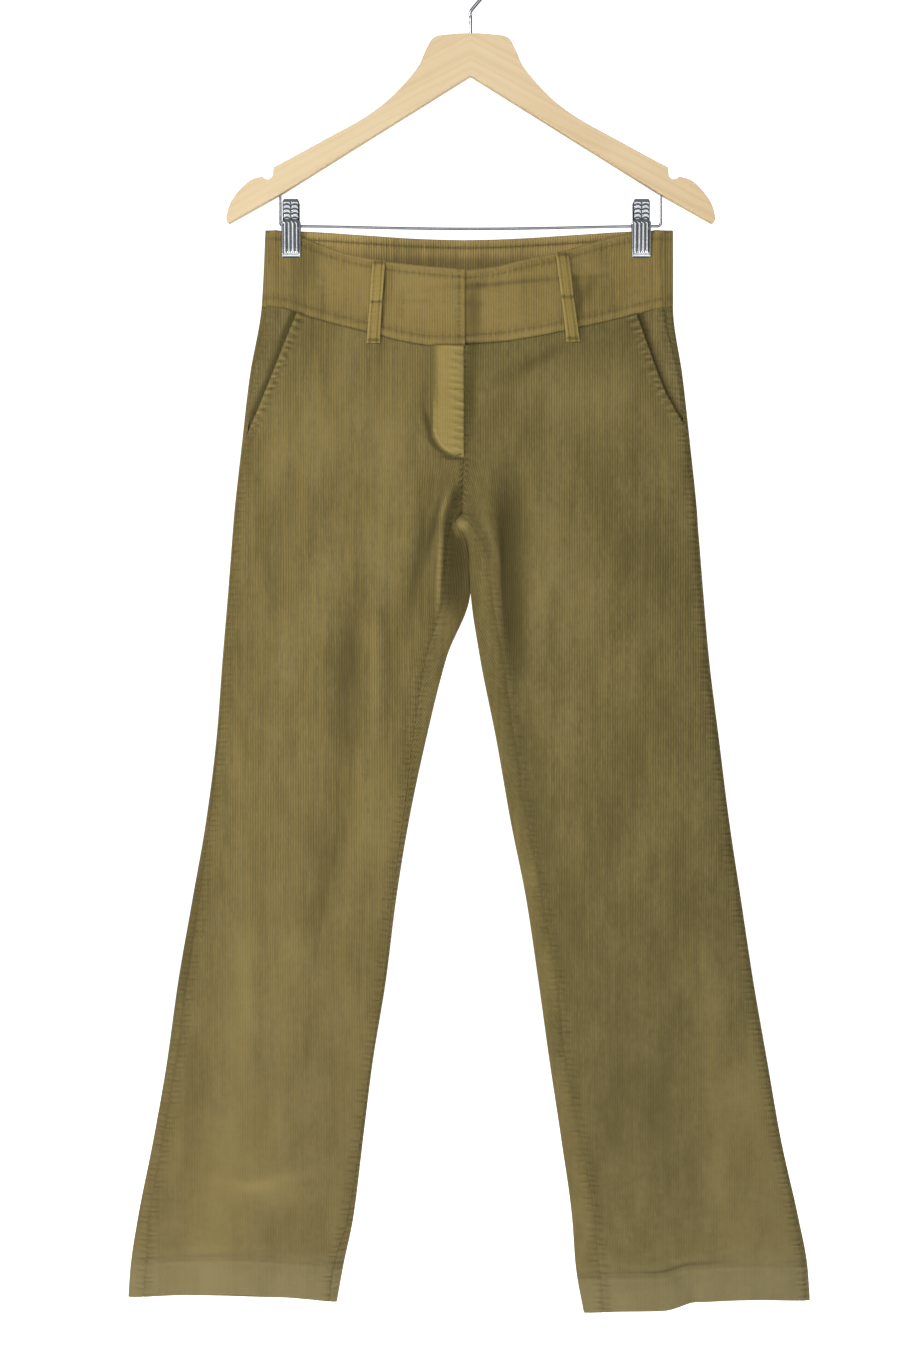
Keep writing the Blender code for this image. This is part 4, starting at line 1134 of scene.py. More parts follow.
@dataclass(frozen=True)
class Maple(Finish):
    """Pale varnished maple with its grain along the arms, and painted shade on the arm at +X."""

    pale: Colour = (0.70, 0.55, 0.325)
    warm: Colour = (0.58, 0.395, 0.19)
    slope: float = 0.53

    def mixed(self, kit: Shader) -> bpy.types.Material:
        """Mix the finish in an empty material.

        Args:
            kit: the empty material.

        Returns:
            The finished material.
        """
        place = kit.place()
        split = kit.node("ShaderNodeSeparateXYZ", {}, {"Vector": place})
        x, y, z = (Value(kit, split.outputs[axis]) for axis in "XYZ")
        off = z + abs(x) * self.slope
        grain_place = kit.node("ShaderNodeCombineXYZ", {}, {"X": x * 5.0, "Y": y * 26.0, "Z": off * 60.0})
        grain = kit.noise(grain_place.outputs["Vector"], 1.0, 3.0, 0.6)
        rings = ((off * 120.0 + y * 40.0 + grain * 2.2).wave() * 0.5 + 0.5) ** 2.0
        pores = kit.noise(kit.stretched(grain_place.outputs["Vector"], (9.0, 9.0, 14.0)), 1.0, 2.0, 0.6)
        broad = kit.noise(place, 7.0, 2.0)
        # The ramp of x makes the arm at +X warmer and darker: painted shade on the side away from the key light.
        tone = grain * 0.6 + rings * 0.14 + broad * 0.4 + (x * 2.2).ramp(-0.2, 0.5) * 0.22 - 0.38
        base = kit.blend(tone.ramp(0.0, 0.75), self.pale, self.warm)
        base = kit.blend((pores - 0.55).ramp(0.0, 0.25) * 0.28, base, self.warm)
        return kit.done({
            "Base Color": base,
            "Roughness": 0.34 + pores * 0.14,
            "Normal": kit.relief(pores * 0.5 + grain * 0.5, 0.00016),
            "Coat Weight": 0.35,
            "Coat Roughness": 0.16,
            "Specular IOR Level": 0.5,
        })


@dataclass(frozen=True)
class Chrome(Finish):
    """Bright plating with faint wiping marks, with painted shade in the grooves of a pressed pattern."""

    colour: Colour = (0.34, 0.35, 0.38)
    dull: Colour = (0.24, 0.25, 0.28)
    groove: Colour = (0.075, 0.082, 0.095)
    pressed: bool = False
    roughness: float = 0.14

    def mixed(self, kit: Shader) -> bpy.types.Material:
        """Mix the finish in an empty material.

        Args:
            kit: the empty material.

        Returns:
            The finished material.
        """
        place = kit.place()
        film = kit.noise(place, 90.0, 3.0, 0.6)
        fine = kit.noise(kit.stretched(place, (1.0, 1.0, 0.2)), 1600.0, 1.0)
        base = kit.blend(film.ramp(0.35, 0.8), self.colour, self.dull)
        if self.pressed:
            height, _ = kit.map_of(LEVELS_MAP)
            # Painted shade in the grooves, where the pressed relief is low.
            base = kit.blend(1.0 - height.ramp(0.0, 0.55), base, self.groove)
        return kit.done({
            "Base Color": base,
            "Metallic": 1.0,
            "Roughness": self.roughness + film * 0.12 + fine * 0.05,
            "Normal": kit.relief(fine, 0.00002),
        })


@dataclass(frozen=True)
class Backdrop(Finish):
    """The studio's white paper, which glows evenly."""

    colour: Colour = (0.93, 0.93, 0.93)
    glow: float = 1.1

    def mixed(self, kit: Shader) -> bpy.types.Material:
        """Mix the finish in an empty material.

        Args:
            kit: the empty material.

        Returns:
            The finished material.
        """
        patch = kit.noise(kit.place(), 1.5, 2.0)
        base = kit.blend(patch * 0.2, self.colour, tuple(0.97 * part for part in self.colour))
        return kit.done({
            "Base Color": base,
            "Roughness": 0.95,
            "Specular IOR Level": 0.1,
            "Emission Color": base,
            "Emission Strength": self.glow,
        })


# ---------------------------------------------------------------- meshes


def mesh_piece(
    name: str, points: Array, faces: Array, maps: dict[str, Array], material: bpy.types.Material, outward: bool = False
) -> bpy.types.Object:
    """Make a smooth object.

    Args:
        name: the piece's name.
        points: its corners by three, in millimetres.
        faces: for each face the numbers of its corners.
        maps: for each map of the mesh, its corners by two.
        material: its finish.
        outward: whether the faces still have to be turned outward.

    Returns:
        The new object, linked into the scene.
    """
    mesh = bpy.data.meshes.new(name)
    mesh.from_pydata((points * MM).tolist(), [], faces if isinstance(faces, list) else faces.tolist())
    for key, values in maps.items():
        layer = mesh.uv_layers.new(name=key)
        flat = np.ascontiguousarray(values[faces.reshape(-1)], dtype=np.float32)
        layer.uv.foreach_set("vector", flat.reshape(-1))
    if outward:
        made = bmesh.new()
        made.from_mesh(mesh)
        bmesh.ops.recalc_face_normals(made, faces=made.faces)
        made.to_mesh(mesh)
        made.free()
    mesh.materials.append(material)
    mesh.shade_smooth()
    piece = bpy.data.objects.new(name, mesh)
    bpy.context.scene.collection.objects.link(piece)
    return piece


def rounded(piece: bpy.types.Object, width: float, segments: int, sharp_from: float) -> bpy.types.Modifier:
    """Round a piece's sharp edges, and shade the rest smooth, by the angle in degrees."""
    piece.data.set_sharp_from_angle(angle=math.radians(sharp_from))
    rounding = piece.modifiers.new("rounded_edges", "BEVEL")
    rounding.width = width * MM
    rounding.segments = segments
    rounding.limit_method = "ANGLE"
    return rounding


def quads_of(index: Array) -> Array:
    """Faces between a grid's neighbouring corners, by the corners' numbers."""
    return np.stack([index[:-1, :-1], index[1:, :-1], index[1:, 1:], index[:-1, 1:]], axis=-1).reshape(-1, 4)


def grid_piece(name: str, points: Array, maps: dict[str, Array], material: bpy.types.Material) -> bpy.types.Object:
    """Make a smooth sheet from a grid of points.

    Args:
        name: the piece's name.
        points: rows by columns by three, in millimetres.
        maps: for each map of the mesh, rows by columns by two.
        material: its finish.

    Returns:
        The new object, linked into the scene.
    """
    rows, columns = points.shape[:2]
    quads = quads_of(np.arange(rows * columns).reshape(rows, columns))
    flat_maps = {key: values.reshape(-1, 2) for key, values in maps.items()}
    return mesh_piece(name, points.reshape(-1, 3), quads, flat_maps, material)


def shell_piece(
    name: str, outer: Array, inner: Array, maps: dict[str, Array], material: bpy.types.Material,
    roundness: float = 0.4, inside_nap: Optional[Array] = None,
) -> bpy.types.Object:
    """Make a closed thin wall between two grids, with rounded edges.

    Args:
        name: the piece's name.
        outer: rows by columns by three, in millimetres.
        inner: the other face, of the same shape.
        maps: for each map of the mesh, rows by columns by two.
        material: its finish.
        roundness: how far the edges bulge, as a share of the wall.
        inside_nap: the inner face's own map of its pile and painted shade.

    Returns:
        The new object, linked into the scene.
    """
    rows, columns = outer.shape[:2]
    count = rows * columns
    index = np.arange(count).reshape(rows, columns)
    ring = np.concatenate([index[0], index[1:, -1], index[-1, -2::-1], index[-2:0:-1, 0]])
    inside = index[np.clip(ring // columns, 1, rows - 2), np.clip(ring % columns, 1, columns - 2)]
    outer, inner = outer.reshape(-1, 3), inner.reshape(-1, 3)
    edge, under = outer[ring], inner[ring]
    out = edge - outer[inside]
    out = out / np.maximum(np.linalg.norm(out, axis=1, keepdims=True), 1e-9)
    wall = np.linalg.norm(under - edge, axis=1, keepdims=True)
    rims = [edge * (1 - u) + under * u + out * wall * roundness * math.sin(math.pi * u) for u in (0.2, 0.5, 0.8)]
    quads = quads_of(index)
    strips = [ring, *(2 * count + k * len(ring) + np.arange(len(ring)) for k in range(3)), ring + count]
    sides = [
        np.stack([near, np.roll(near, -1), np.roll(far, -1), far], axis=-1)
        for near, far in zip(strips[:-1], strips[1:])
    ]
    everywhere = {}
    for key, values in maps.items():
        flat = values.reshape(-1, 2)
        under_side = flat
        if key == NAP_AND_SHADE:
            under_side = flat + (0.0, 1.0) if inside_nap is None else inside_nap.reshape(-1, 2)
        everywhere[key] = np.concatenate([flat, under_side, *[flat[ring]] * 3])
    points = np.concatenate([outer, inner, *rims])
    faces = np.concatenate([quads, quads[:, ::-1] + count, *sides])
    return mesh_piece(name, points, faces, everywhere, material, outward=True)


def tube_piece(
    name: str, path: Sequence[Sequence[float]], radius: float, material: bpy.types.Material, sides: int = 16
) -> bpy.types.Object:
    """Make a round wire along a path, with domed ends.

    Args:
        name: the piece's name.
        path: points of its middle line, in millimetres.
        radius: the wire's radius.
        material: its finish.
        sides: how many flats go round it.

    Returns:
        The new object, linked into the scene.
    """
    line = np.array(path, dtype=float)
    along = np.gradient(line, axis=0)
    along /= np.linalg.norm(along, axis=1, keepdims=True)
    normal = np.cross(along[0], (0.3, 0.9, 0.2))
    rows = []
    for point, way in zip(line, along):
        normal = normal - way * np.dot(normal, way)
        normal /= np.linalg.norm(normal)
        other = np.cross(way, normal)
        turn = np.linspace(0, 2 * math.pi, sides + 1)[:, None]
        rows.append(point + radius * (np.cos(turn) * normal + np.sin(turn) * other))
    caps = [
        [end + (ring - end) * math.cos(t) + way * radius * 0.6 * math.sin(t) for t in (0.5, 1.1, 1.5)]
        for end, way, ring in ((line[0], -along[0], rows[0]), (line[-1], along[-1], rows[-1]))
    ]
    grid = np.array(caps[0][::-1] + rows + caps[1])
    return grid_piece(name, grid, {}, material)


def through_points(points: Sequence[Sequence[float]], steps: int) -> Array:
    """A smooth curve through a short list of points.

    Args:
        points: the points.
        steps: how many steps lie between each two.

    Returns:
        The curve's points.
    """
    line = np.array(points, dtype=float)
    padded = np.concatenate([line[:1], line, line[-1:]])
    u = (np.arange(steps) / steps)[:, None]
    runs = [
        0.5 * (2 * b + (c - a) * u + (2 * a - 5 * b + 4 * c - d) * u**2 + (3 * b - a - 3 * c + d) * u**3)
        for a, b, c, d in zip(padded[:-3], padded[1:-2], padded[2:-1], padded[3:])
    ]
    return np.concatenate([*runs, line[-1:]])


def drawn_in(grid: Array, distance: float, borders: tuple[int, int, int, int]) -> Array:
    """Draw a grid's borders in along the surface.

    Args:
        grid: rows by columns by three.
        distance: how far.
        borders: how many repeated lines each border has, first row, last row, first and last column.

    Returns:
        The grid with its borders moved.
    """
    grid = grid.copy()
    for axis, (first, last) in ((0, borders[:2]), (1, borders[2:])):
        lines = np.moveaxis(grid, axis, 0)
        count = len(lines)
        for edge, inside, members in (
            (first, first + 1, range(0, first + 1)),
            (count - 1 - last, count - 2 - last, range(count - 1 - last, count)),
        ):
            step = lines[inside] - lines[edge]
            length = np.maximum(np.linalg.norm(step, axis=-1, keepdims=True), 1e-6)
            move = step / length * np.minimum(distance, length * 0.5)
            for member in members:
                lines[member] += move
    return grid


def maps_of(across: Array, along: Array, inner: Array, outer: Array, top: Array, foot: Array, nap: Array) -> dict:
    """The four maps of a cloth piece by name, from lengths in millimetres and the pile's lightness with its painted
    shade.
    """
    return {
        GRAIN: np.stack([across, along], axis=-1) * MM,
        SEAMS: np.stack([inner, outer], axis=-1) * MM,
        LEVELS_MAP: np.stack([top, foot], axis=-1) * MM,
        NAP_AND_SHADE: np.stack([nap, np.zeros_like(nap)], axis=-1),
    }


def seam_roll(away: Array) -> Array:
    """Height of a pressed seam at a distance from it: a line pressed in, with a soft ridge beside it."""
    return 0.45 * bump_at(away, 2.6, 1.9) - 0.75 * np.exp(-((away / 1.1) ** 2))


def lift(points: Array, height: Array) -> Array:
    """Move points out from the cloth's middle plane.

    Args:
        points: the points.
        height: how far each moves, in millimetres.

    Returns:
        The moved points.
    """
    moved = points.copy()
    moved[..., 1] += np.where(points[..., 1] < 0, -1.0, 1.0) * height
    return moved


@dataclass
class Piece:
    """What every piece carries: a slot name and the CAD parts that it stands for."""

    material_slot: str
    stands_for: tuple[str, ...] = ()

    def declare(self, piece: bpy.types.Object) -> bpy.types.Object:
        """Make a piece ride on the part and hide the CAD parts that it stands for.

        Args:
            piece: the object.

        Returns:
            The same object.
        """
        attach(piece, "root")
        if self.stands_for:
            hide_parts(*self.stands_for)
        LOG.info("%s: %d faces", piece.name, len(piece.data.polygons) if piece.type == "MESH" else 0)
        return piece


@dataclass
class LegPanel:
    """A front or back leg panel, from the waist seam to its turned-up hem."""

    half: Half
    face: Face
    finish: Corduroy
    flat: tuple[float, float]
    area: float
    rows: int = 500
    columns: int = 100
    wrap_columns: int = 16
    wrap_tail: float = 0.1
    yield_to_inseam: int = 6

    @property
    def node(self) -> str:
        """The CAD node that this piece stands for."""
        return f"{self.face.value}_{self.half.word}"

    def places(self, row_drop: Array, first: Array, last: Array) -> Array:
        """Places round of the panel's columns.

        Args:
            row_drop: the rows' own drops.
            first: the place of the first column on each row.
            last: the place of the last one.

        Returns:
            Rows by columns of places round.
        """
        share = np.linspace(0.0, 1.0, self.columns + 1)[None, :]
        first, last, drop = first[:, None], last[:, None], row_drop[:, None]
        if self.face is Face.FRONT:
            inner, outer, _ = FORM.section_ends(self.half, drop, Face.FRONT, 0.0)
            first_in = (1 - np.cos(math.pi * first)) / 2
            last_in = (1 - np.cos(math.pi * last)) / 2
            crowded = 0.6 * share + 0.4 * np.sin(math.pi / 2 * share)
            across = last_in * crowded + first_in * (1 - share) ** self.yield_to_inseam
            return FORM.place_of(self.half, drop, inner + (outer - inner) * across)
        wrapped = last - 2.0
        silhouette = 2.0 - self.wrap_tail * (1 - np.minimum(wrapped / self.wrap_tail, 1.0))
        wrap_from = 1 - self.wrap_columns / self.columns
        before = first + (silhouette - first) * share / wrap_from
        after = silhouette + (last - silhouette) * (share - wrap_from) / (1 - wrap_from)
        return np.where(share <= wrap_from, before, after)

    def grain_across(self, points: Array, drop: Array, s: Array) -> Array:
        """The place across the wales, which are mirrored where the cloth wraps round an edge.

        Args:
            points: the points.
            drop: their drops.
            s: their places round.

        Returns:
            The place across, in millimetres.
        """
        x = points[..., 0]
        if self.face is Face.FRONT:
            away = np.abs(x - read(LEVELS, self.half.word + "_inner", drop))
            lean = 0.42 * np.clip(drop - 466.0, 0.0, 74.0) * (1 - smooth_step(560.0, 660.0, drop))
            return x - self.half.value * lean * bump_at(away, 0.0, 24.0)
        outer = read(LEVELS, self.half.word + "_edge", drop)
        inner = read(LEVELS, self.half.word + "_inner", drop)
        slant = {Half.RIGHT: 1.2, Half.LEFT: 2.2}[self.half]
        past_outer = np.where(s < 1, 2 * (outer - x), 0.0)
        past_inner = (slant - 1) * (inner - CENTRE_X) + np.where(s > 2, 2 * (inner - x), 0.0)
        bend = np.where(s > 1.5, smooth_step(1.55, 2.0, s) * past_inner, 0.0)
        return x + past_outer + np.where(drop > FORK_DROP - 40, bend, 0.0)

    def build(self) -> bpy.types.Object:
        """Build the panel.

        Returns:
            The finished piece.
        """
        front = self.face is Face.FRONT
        half = self.half
        top = float(FORM.line_drop(half, 0.0 if front else 2.0, Line.SEAM))
        first_edge, last_edge = (FORM.inner_seam, FORM.pocket_edge) if front else (FORM.side_seam, FORM.back_end)
        row_drop = np.linspace(top, FRONT_FOOT, self.rows + 1)
        first = FORM.settled(first_edge, half, row_drop, top)
        last = FORM.settled(last_edge, half, row_drop, top)
        s = self.places(row_drop, first, last)
        drop = FORM.panel_drop(half, row_drop[:, None], s, top)
        turned = len(TURN_UP)
        s, drop = (np.pad(grid, ((2, turned), (2, 2)), mode="edge") for grid in (s, drop))
        drop[-turned:] -= np.array(TURN_UP)[:, None]
        inset = np.maximum(
            np.concatenate([EDGE_INSET, np.zeros(self.rows + 1), TURNED_INSET])[:, None],
            np.concatenate([EDGE_INSET, np.zeros(self.columns + 1), EDGE_INSET[::-1]])[None, :],
        )
        if front:
            s = np.clip(s, 0.0, 1.0)
        outer_face = FORM.skin(half, drop, s, inset)
        points = drawn_in(outer_face, SEAM_GAP / 2, (2, turned, 2, 2))
        reach = SEAM_ALLOWANCE * np.array([1.0, 0.4]) * half.value
        if front:
            points[:, :2, 0] -= reach
            points[:, -2:, 0] += np.where(drop[:, -2:] > POCKET_FOOT[half], reach[::-1], 0.0)
        else:
            points[:, -2:, 0] -= np.where(drop[:, -2:] < FORK_DROP, reach[::-1], 0.0)

        side_gap = np.abs(points[..., 0] - FORM.side_seam_x(half, drop))
        in_gap = np.abs(points[..., 0] - FORM.inseam_x(half, drop))
        hem_edge = FORM.line_drop(half, s, Line.HEM)
        from_hem = hem_edge - drop
        from_seam = np.maximum(drop - FORM.line_drop(half, s, Line.SEAM), 0.0)
        on_front = (s < 1) | (s > 2)
        side_roll = np.where(on_front & (drop > POCKET_FOOT[half]), seam_roll(side_gap), 0.0)
        in_roll = np.where(on_front & (drop > FORK_DROP + 8), seam_roll(in_gap), 0.0)
        turned_up = smooth_step(HEM_HEIGHT + 1.0, HEM_HEIGHT - 2.0, from_hem)
        hem_step = -0.5 * bump_at(from_hem, HEM_HEIGHT, 0.9) + 0.55 * turned_up
        hem_step[-turned:] = 0.0
        height = side_roll + in_roll + hem_step
        if front:
            edge_x = read(POCKET_EDGES, half.word + "_x", drop)
            mouth = np.abs(points[..., 0] - edge_x)
            by_pocket = smooth_step(POCKET_FOOT[half] + 4, POCKET_FOOT[half] - 22, drop)
            height = height + by_pocket * 1.1 * bump_at(mouth, 3.6, 4.0)
            by_fork = smooth_step(456.0, 464.0, drop) * (1 - smooth_step(500.0, 508.0, drop))
            twist = np.sin((drop + half.value * 0.9 * in_gap) * 2 * math.pi / 5.4)
            height = height + by_fork * (0.7 + 0.8 * twist) * bump_at(in_gap, 2.4, 2.6)
            outer_away = np.where(drop < POCKET_FOOT[half], mouth, side_gap)
            inner_away = in_gap
        else:
            outer_away = np.where(s < 1.15, side_gap, FAR)
            inner_away = np.where(s > 2, in_gap, np.where(drop < FORK_DROP, np.abs(points[..., 0] - CENTRE_X), FAR))
            height = height - np.where(s > 2, 0.7 * smooth_step(26.0, 0.0, in_gap), 0.0)
            height = height - np.where(s < 1, 0.6 * smooth_step(10.0, 0.0, side_gap), 0.0)
        height = height * np.clip(1.0 - inset / 1.0, 0.0, 1.0)
        points = lift(points, height)
        across = self.grain_across(points, drop, s)
        nap = FORM.nap(points)
        # Painted light: a lighter strip along the pocket edge, the shade and highlights of puckers beside it that the
        # cloth itself doesn't have, and shade and highlights on the twists of the middle seam above the fork.
        if front:
            wander = 1.2 * ripple_noise(points[..., 0], drop, 30.0, 33)
            pucker = np.sin((drop - 0.4 * mouth + wander) * 2 * math.pi / 6.3) * bump_at(mouth, 4.5, 5.5)
            nap = nap + by_pocket * (0.8 * bump_at(mouth, 1.6, 1.8) + 1.1 * pucker)
            nap = nap + by_fork * 1.3 * twist * bump_at(in_gap, 1.4, 1.8)
        # Painted shade along an uneven line just above the hem's fold, and a lighter strip just below it.
        hem_shade_patchiness = 0.5 + 0.5 * ripple_noise(points[..., 0], drop, 90.0, 31)
        nap = nap - 1.1 * hem_shade_patchiness * bump_at(from_hem, HEM_HEIGHT + 3.2, 1.5)
        nap = nap + 0.5 * bump_at(from_hem, HEM_HEIGHT - 3.0, 1.6)
        maps = maps_of(across, drop, inner_away, outer_away, from_seam, from_hem, nap)
        piece = grid_piece(self.node + "_cloth", points, maps, self.finish.material())
        Piece("cord", (self.node,)).declare(piece)
        return piece


@dataclass
class Waistband:
    """The wide shaped waistband: two front halves, the wearer's right one on top, and the back."""

    front_finish: Corduroy
    back_finish: Corduroy
    front_flat: tuple[float, float] = (0.215, 0.073)
    back_flat: tuple[float, float] = (0.420, 0.071)
    rows: int = 64
    front_columns: int = 200
    half_back_columns: int = 150

    def sunk(self, half: Half, x: Array) -> Array:
        """How far the left band sinks towards the middle, to pass behind the right one."""
        if half is Half.RIGHT:
            return np.zeros(np.shape(x))
        return (BAND_CLOTH + SEAM_EASE) * (1 - smooth_step(CENTRE_X, UNDERLAP_BLENDS_BY, x))

    def relief(self, top: Array, foot: Array, end: Array) -> Array:
        """Grooves that the stitching presses in, and the edges' soft rolls.

        Args:
            top: distance from the top edge.
            foot: distance from the waist seam.
            end: distance from the overlapping end.

        Returns:
            The height in millimetres.
        """
        height = -0.42 * bump_at(top, TOP_STITCH, 1.0) - 0.45 * bump_at(foot, FOOT_STITCH, 1.0)
        height = height - 0.35 * bump_at(end, END_STITCH, 0.9)
        height = height + 0.25 * bump_at(top, 2.2, 1.6) - 0.5 * np.exp(-((top / 0.9) ** 2))
        return height + 0.3 * bump_at(foot, 4.5, 2.6) - 0.55 * np.exp(-((foot / 1.0) ** 2))

    def edge_nap(self, top: Array, foot: Array, end: Array) -> Array:
        """Rubbed, lighter edges, and painted shade in the stitch grooves and along the waist seam.

        Args:
            top: distance from the top edge.
            foot: distance from the waist seam.
            end: distance from the overlapping end.

        Returns:
            How much lighter or darker the pile looks.
        """
        rubbed = 0.9 * bump_at(top, 0.8, 1.4) + 0.9 * bump_at(end, 0.6, 1.3) + 0.4 * bump_at(foot, 4.2, 2.4)
        # Painted shade in the stitch grooves and along the waist seam.
        grooves = bump_at(top, TOP_STITCH, 1.0) + bump_at(foot, FOOT_STITCH, 1.0) + bump_at(end, END_STITCH, 0.9)
        return rubbed - 0.45 * grooves - 0.9 * bump_at(foot, 0.0, 1.2)

    def stretch(self, half: Half, s: Array) -> tuple[Array, Array, Array, Array, Array]:
        """One half's stretch of the band.

        Args:
            half: the wearer's half.
            s: the places round of its columns.

        Returns:
            Its outer grid, its inner grid, the drops, and the distances from the top edge and the seam.
        """
        top = FORM.line_drop(half, s, Line.TOP)[None, :]
        seam = FORM.line_drop(half, s, Line.SEAM)[None, :]
        share = np.linspace(0.0, 1.0, self.rows + 1)[:, None]
        drop = top + (seam - top) * share
        places = np.broadcast_to(s[None, :], drop.shape)
        x = FORM.skin(half, drop, places)[..., 0]
        sunk = np.where(places <= 1, self.sunk(half, x), 0.0)
        outer = FORM.skin(half, drop, places, sunk)
        inner = FORM.skin(half, drop, places, sunk + BAND_CLOTH)
        return outer, inner, drop, drop - top, seam - drop

    def front(self, half: Half) -> bpy.types.Object:
        """Build one front half.

        Args:
            half: the wearer's half.

        Returns:
            The finished piece.
        """
        last = float(FORM.side_seam(half, BAND_MIDDLE_DROP))
        middle = float(FORM.side_seam_x(half, BAND_MIDDLE_DROP))
        stops = np.linspace(CENTRE_X + half.value * 0.1, middle, self.front_columns + 1)
        s = np.minimum(FORM.place_of(half, BAND_MIDDLE_DROP, stops), last)
        outer, inner, drop, top, foot = self.stretch(half, s)
        if half is Half.LEFT:
            share = np.linspace(1.0, 0.04, 40)
            x = CENTRE_X - UNDERLAP * share
            places = FORM.place_of(Half.RIGHT, BAND_MIDDLE_DROP, x)
            line_top = FORM.line_drop(Half.RIGHT, places, Line.TOP)[None, :]
            line_seam = FORM.line_drop(Half.RIGHT, places, Line.SEAM)[None, :]
            down = np.linspace(0.0, 1.0, self.rows + 1)[:, None]
            under = line_top + (line_seam - line_top) * down
            across = np.broadcast_to(x[None, :], under.shape)
            behind = BAND_CLOTH + SEAM_EASE
            underlap = (
                FORM.surface(Half.RIGHT, Face.FRONT, under, across, behind),
                FORM.surface(Half.RIGHT, Face.FRONT, under, across, behind + BAND_CLOTH),
                under, under - line_top, line_seam - under,
            )
            outer, inner, drop, top, foot = (
                np.concatenate(pair, axis=1) for pair in zip(underlap, (outer, inner, drop, top, foot))
            )
        end = np.abs(outer[..., 0] - BAND_END) if half is Half.RIGHT else np.full(drop.shape, FAR)
        side = np.abs(outer[..., 0] - FORM.side_seam_x(half, drop))
        outer = lift(outer, self.relief(top, foot, end) - 0.5 * np.exp(-((side / 1.2) ** 2)))
        maps = maps_of(
            outer[..., 0], drop, np.abs(end - END_STITCH), side,
            np.abs(top - TOP_STITCH), np.abs(foot - FOOT_STITCH), FORM.nap(outer) + self.edge_nap(top, foot, end),
        )
        name = f"waistband_front_{half.word}"
        piece = shell_piece(name + "_cloth", outer, inner, maps, self.front_finish.material())
        Piece("cord_band", (name,)).declare(piece)
        return piece

    def back(self) -> bpy.types.Object:
        """Build the back from side seam to side seam.

        Returns:
            The finished piece.
        """
        parts = []
        for half in Half:
            first = float(FORM.side_seam(half, BAND_MIDDLE_DROP))
            s = np.linspace(first, 2.0, self.half_back_columns + 1)
            parts.append([np.flip(grid, axis=1) if half is Half.LEFT else grid for grid in self.stretch(half, s)])
        outer, inner, drop, top, foot = (np.concatenate([right, left[:, 1:]], axis=1) for right, left in zip(*parts))
        nothing = np.full(drop.shape, FAR)
        outer = lift(outer, self.relief(top, foot, nothing))
        inner = lift(inner, 0.42 * bump_at(top, TOP_STITCH, 1.0))
        side = np.minimum(
            np.cumsum(np.linalg.norm(np.diff(outer, axis=1, prepend=outer[:, :1]), axis=-1), axis=1), FAR
        )
        maps = maps_of(
            outer[..., 0], drop, nothing, side,
            np.abs(top - TOP_STITCH), np.abs(foot - FOOT_STITCH), FORM.nap(outer),
        )
        # Painted shade on the band's inner face, darker below drop 266 and along the top stitching; the finish's
        # inside colour then lightens that face: painted light.
        shaded = -0.95 * smooth_step(266.0, 281.0, drop) - 0.9 * bump_at(top, TOP_STITCH, 1.6)
        inside = np.stack([shaded, np.ones_like(shaded)], axis=-1)
        finish = self.back_finish.material()
        piece = shell_piece("waistband_back_cloth", outer, inner, maps, finish, inside_nap=inside)
        Piece("cord_band", ("waistband_back",)).declare(piece)
        return piece

    def build(self) -> None:
        """Build the three pieces."""
        for half in Half:
            self.front(half)
        self.back()


@dataclass
class PocketFacing:
    """The hip piece that shows behind a slanted pocket edge."""

    half: Half
    finish: Corduroy
    flat: tuple[float, float] = (0.048, 0.118)
    area: float = 0.0031
    rows: int = 110
    columns: int = 36
    tuck_columns: int = 6

    def tucked_edge(self, half: Half, drop: Array) -> Array:
        """s of the facing's inner edge, which is tucked under the front panel."""
        edge_x = FORM.skin(half, drop, FORM.pocket_edge(half, drop))[..., 0]
        return FORM.place_of(half, drop, edge_x - half.value * FACING_TUCK)

    def build(self) -> bpy.types.Object:
        """Build the facing.

        Returns:
            The finished piece.
        """
        half = self.half
        top = float(FORM.line_drop(half, 0.0, Line.SEAM))
        row_drop = np.linspace(top, FACING_FOOT, self.rows + 1)
        tuck, edge, side = (
            FORM.settled(line, half, row_drop, top)[:, None]
            for line in (self.tucked_edge, FORM.pocket_edge, FORM.side_seam)
        )
        under = np.linspace(0.0, 1.0, self.tuck_columns + 1)[None, :-1]
        shown = np.linspace(0.0, 1.0, self.columns + 1)[None, :]
        s = np.concatenate([tuck + (edge - tuck) * under, edge + (side - edge) * shown], axis=1)
        share = np.concatenate([np.zeros_like(under), shown], axis=1)
        drop = FORM.panel_drop(half, row_drop[:, None], s, top)
        x = FORM.skin(half, drop, s)[..., 0]
        width = np.abs(x[:, -1:] - x[:, self.tuck_columns:self.tuck_columns + 1])
        rise = smooth_step(FACING_NARROW / 3, FACING_NARROW, width) * smooth_step(0.0, 0.9, share)
        behind = FACING_BEHIND * (1 - rise)
        outer = FORM.skin(half, drop, s, behind)
        inner = FORM.skin(half, drop, s, behind + CLOTH)
        side_gap = np.abs(outer[..., 0] - FORM.side_seam_x(half, drop))
        outer = lift(outer, seam_roll(side_gap))
        mouth = np.abs(outer[..., 0] - read(POCKET_EDGES, half.word + "_x", drop))
        from_seam = np.maximum(drop - FORM.line_drop(half, s, Line.SEAM), 0.0)
        # Painted shadow of the pocket edge on the facing, stronger near the top.
        nap = FORM.nap(outer) - 1.6 * bump_at(mouth, 0.0, 5.0) * (1 + 0.6 * smooth_step(362.0, 340.0, drop))
        maps = maps_of(outer[..., 0], drop, mouth, side_gap, from_seam, np.full(drop.shape, FAR), nap)
        name = f"pocket_facing_{half.word}"
        piece = shell_piece(name + "_cloth", outer, inner, maps, self.finish.material())
        Piece("cord", (name,)).declare(piece)
        return piece


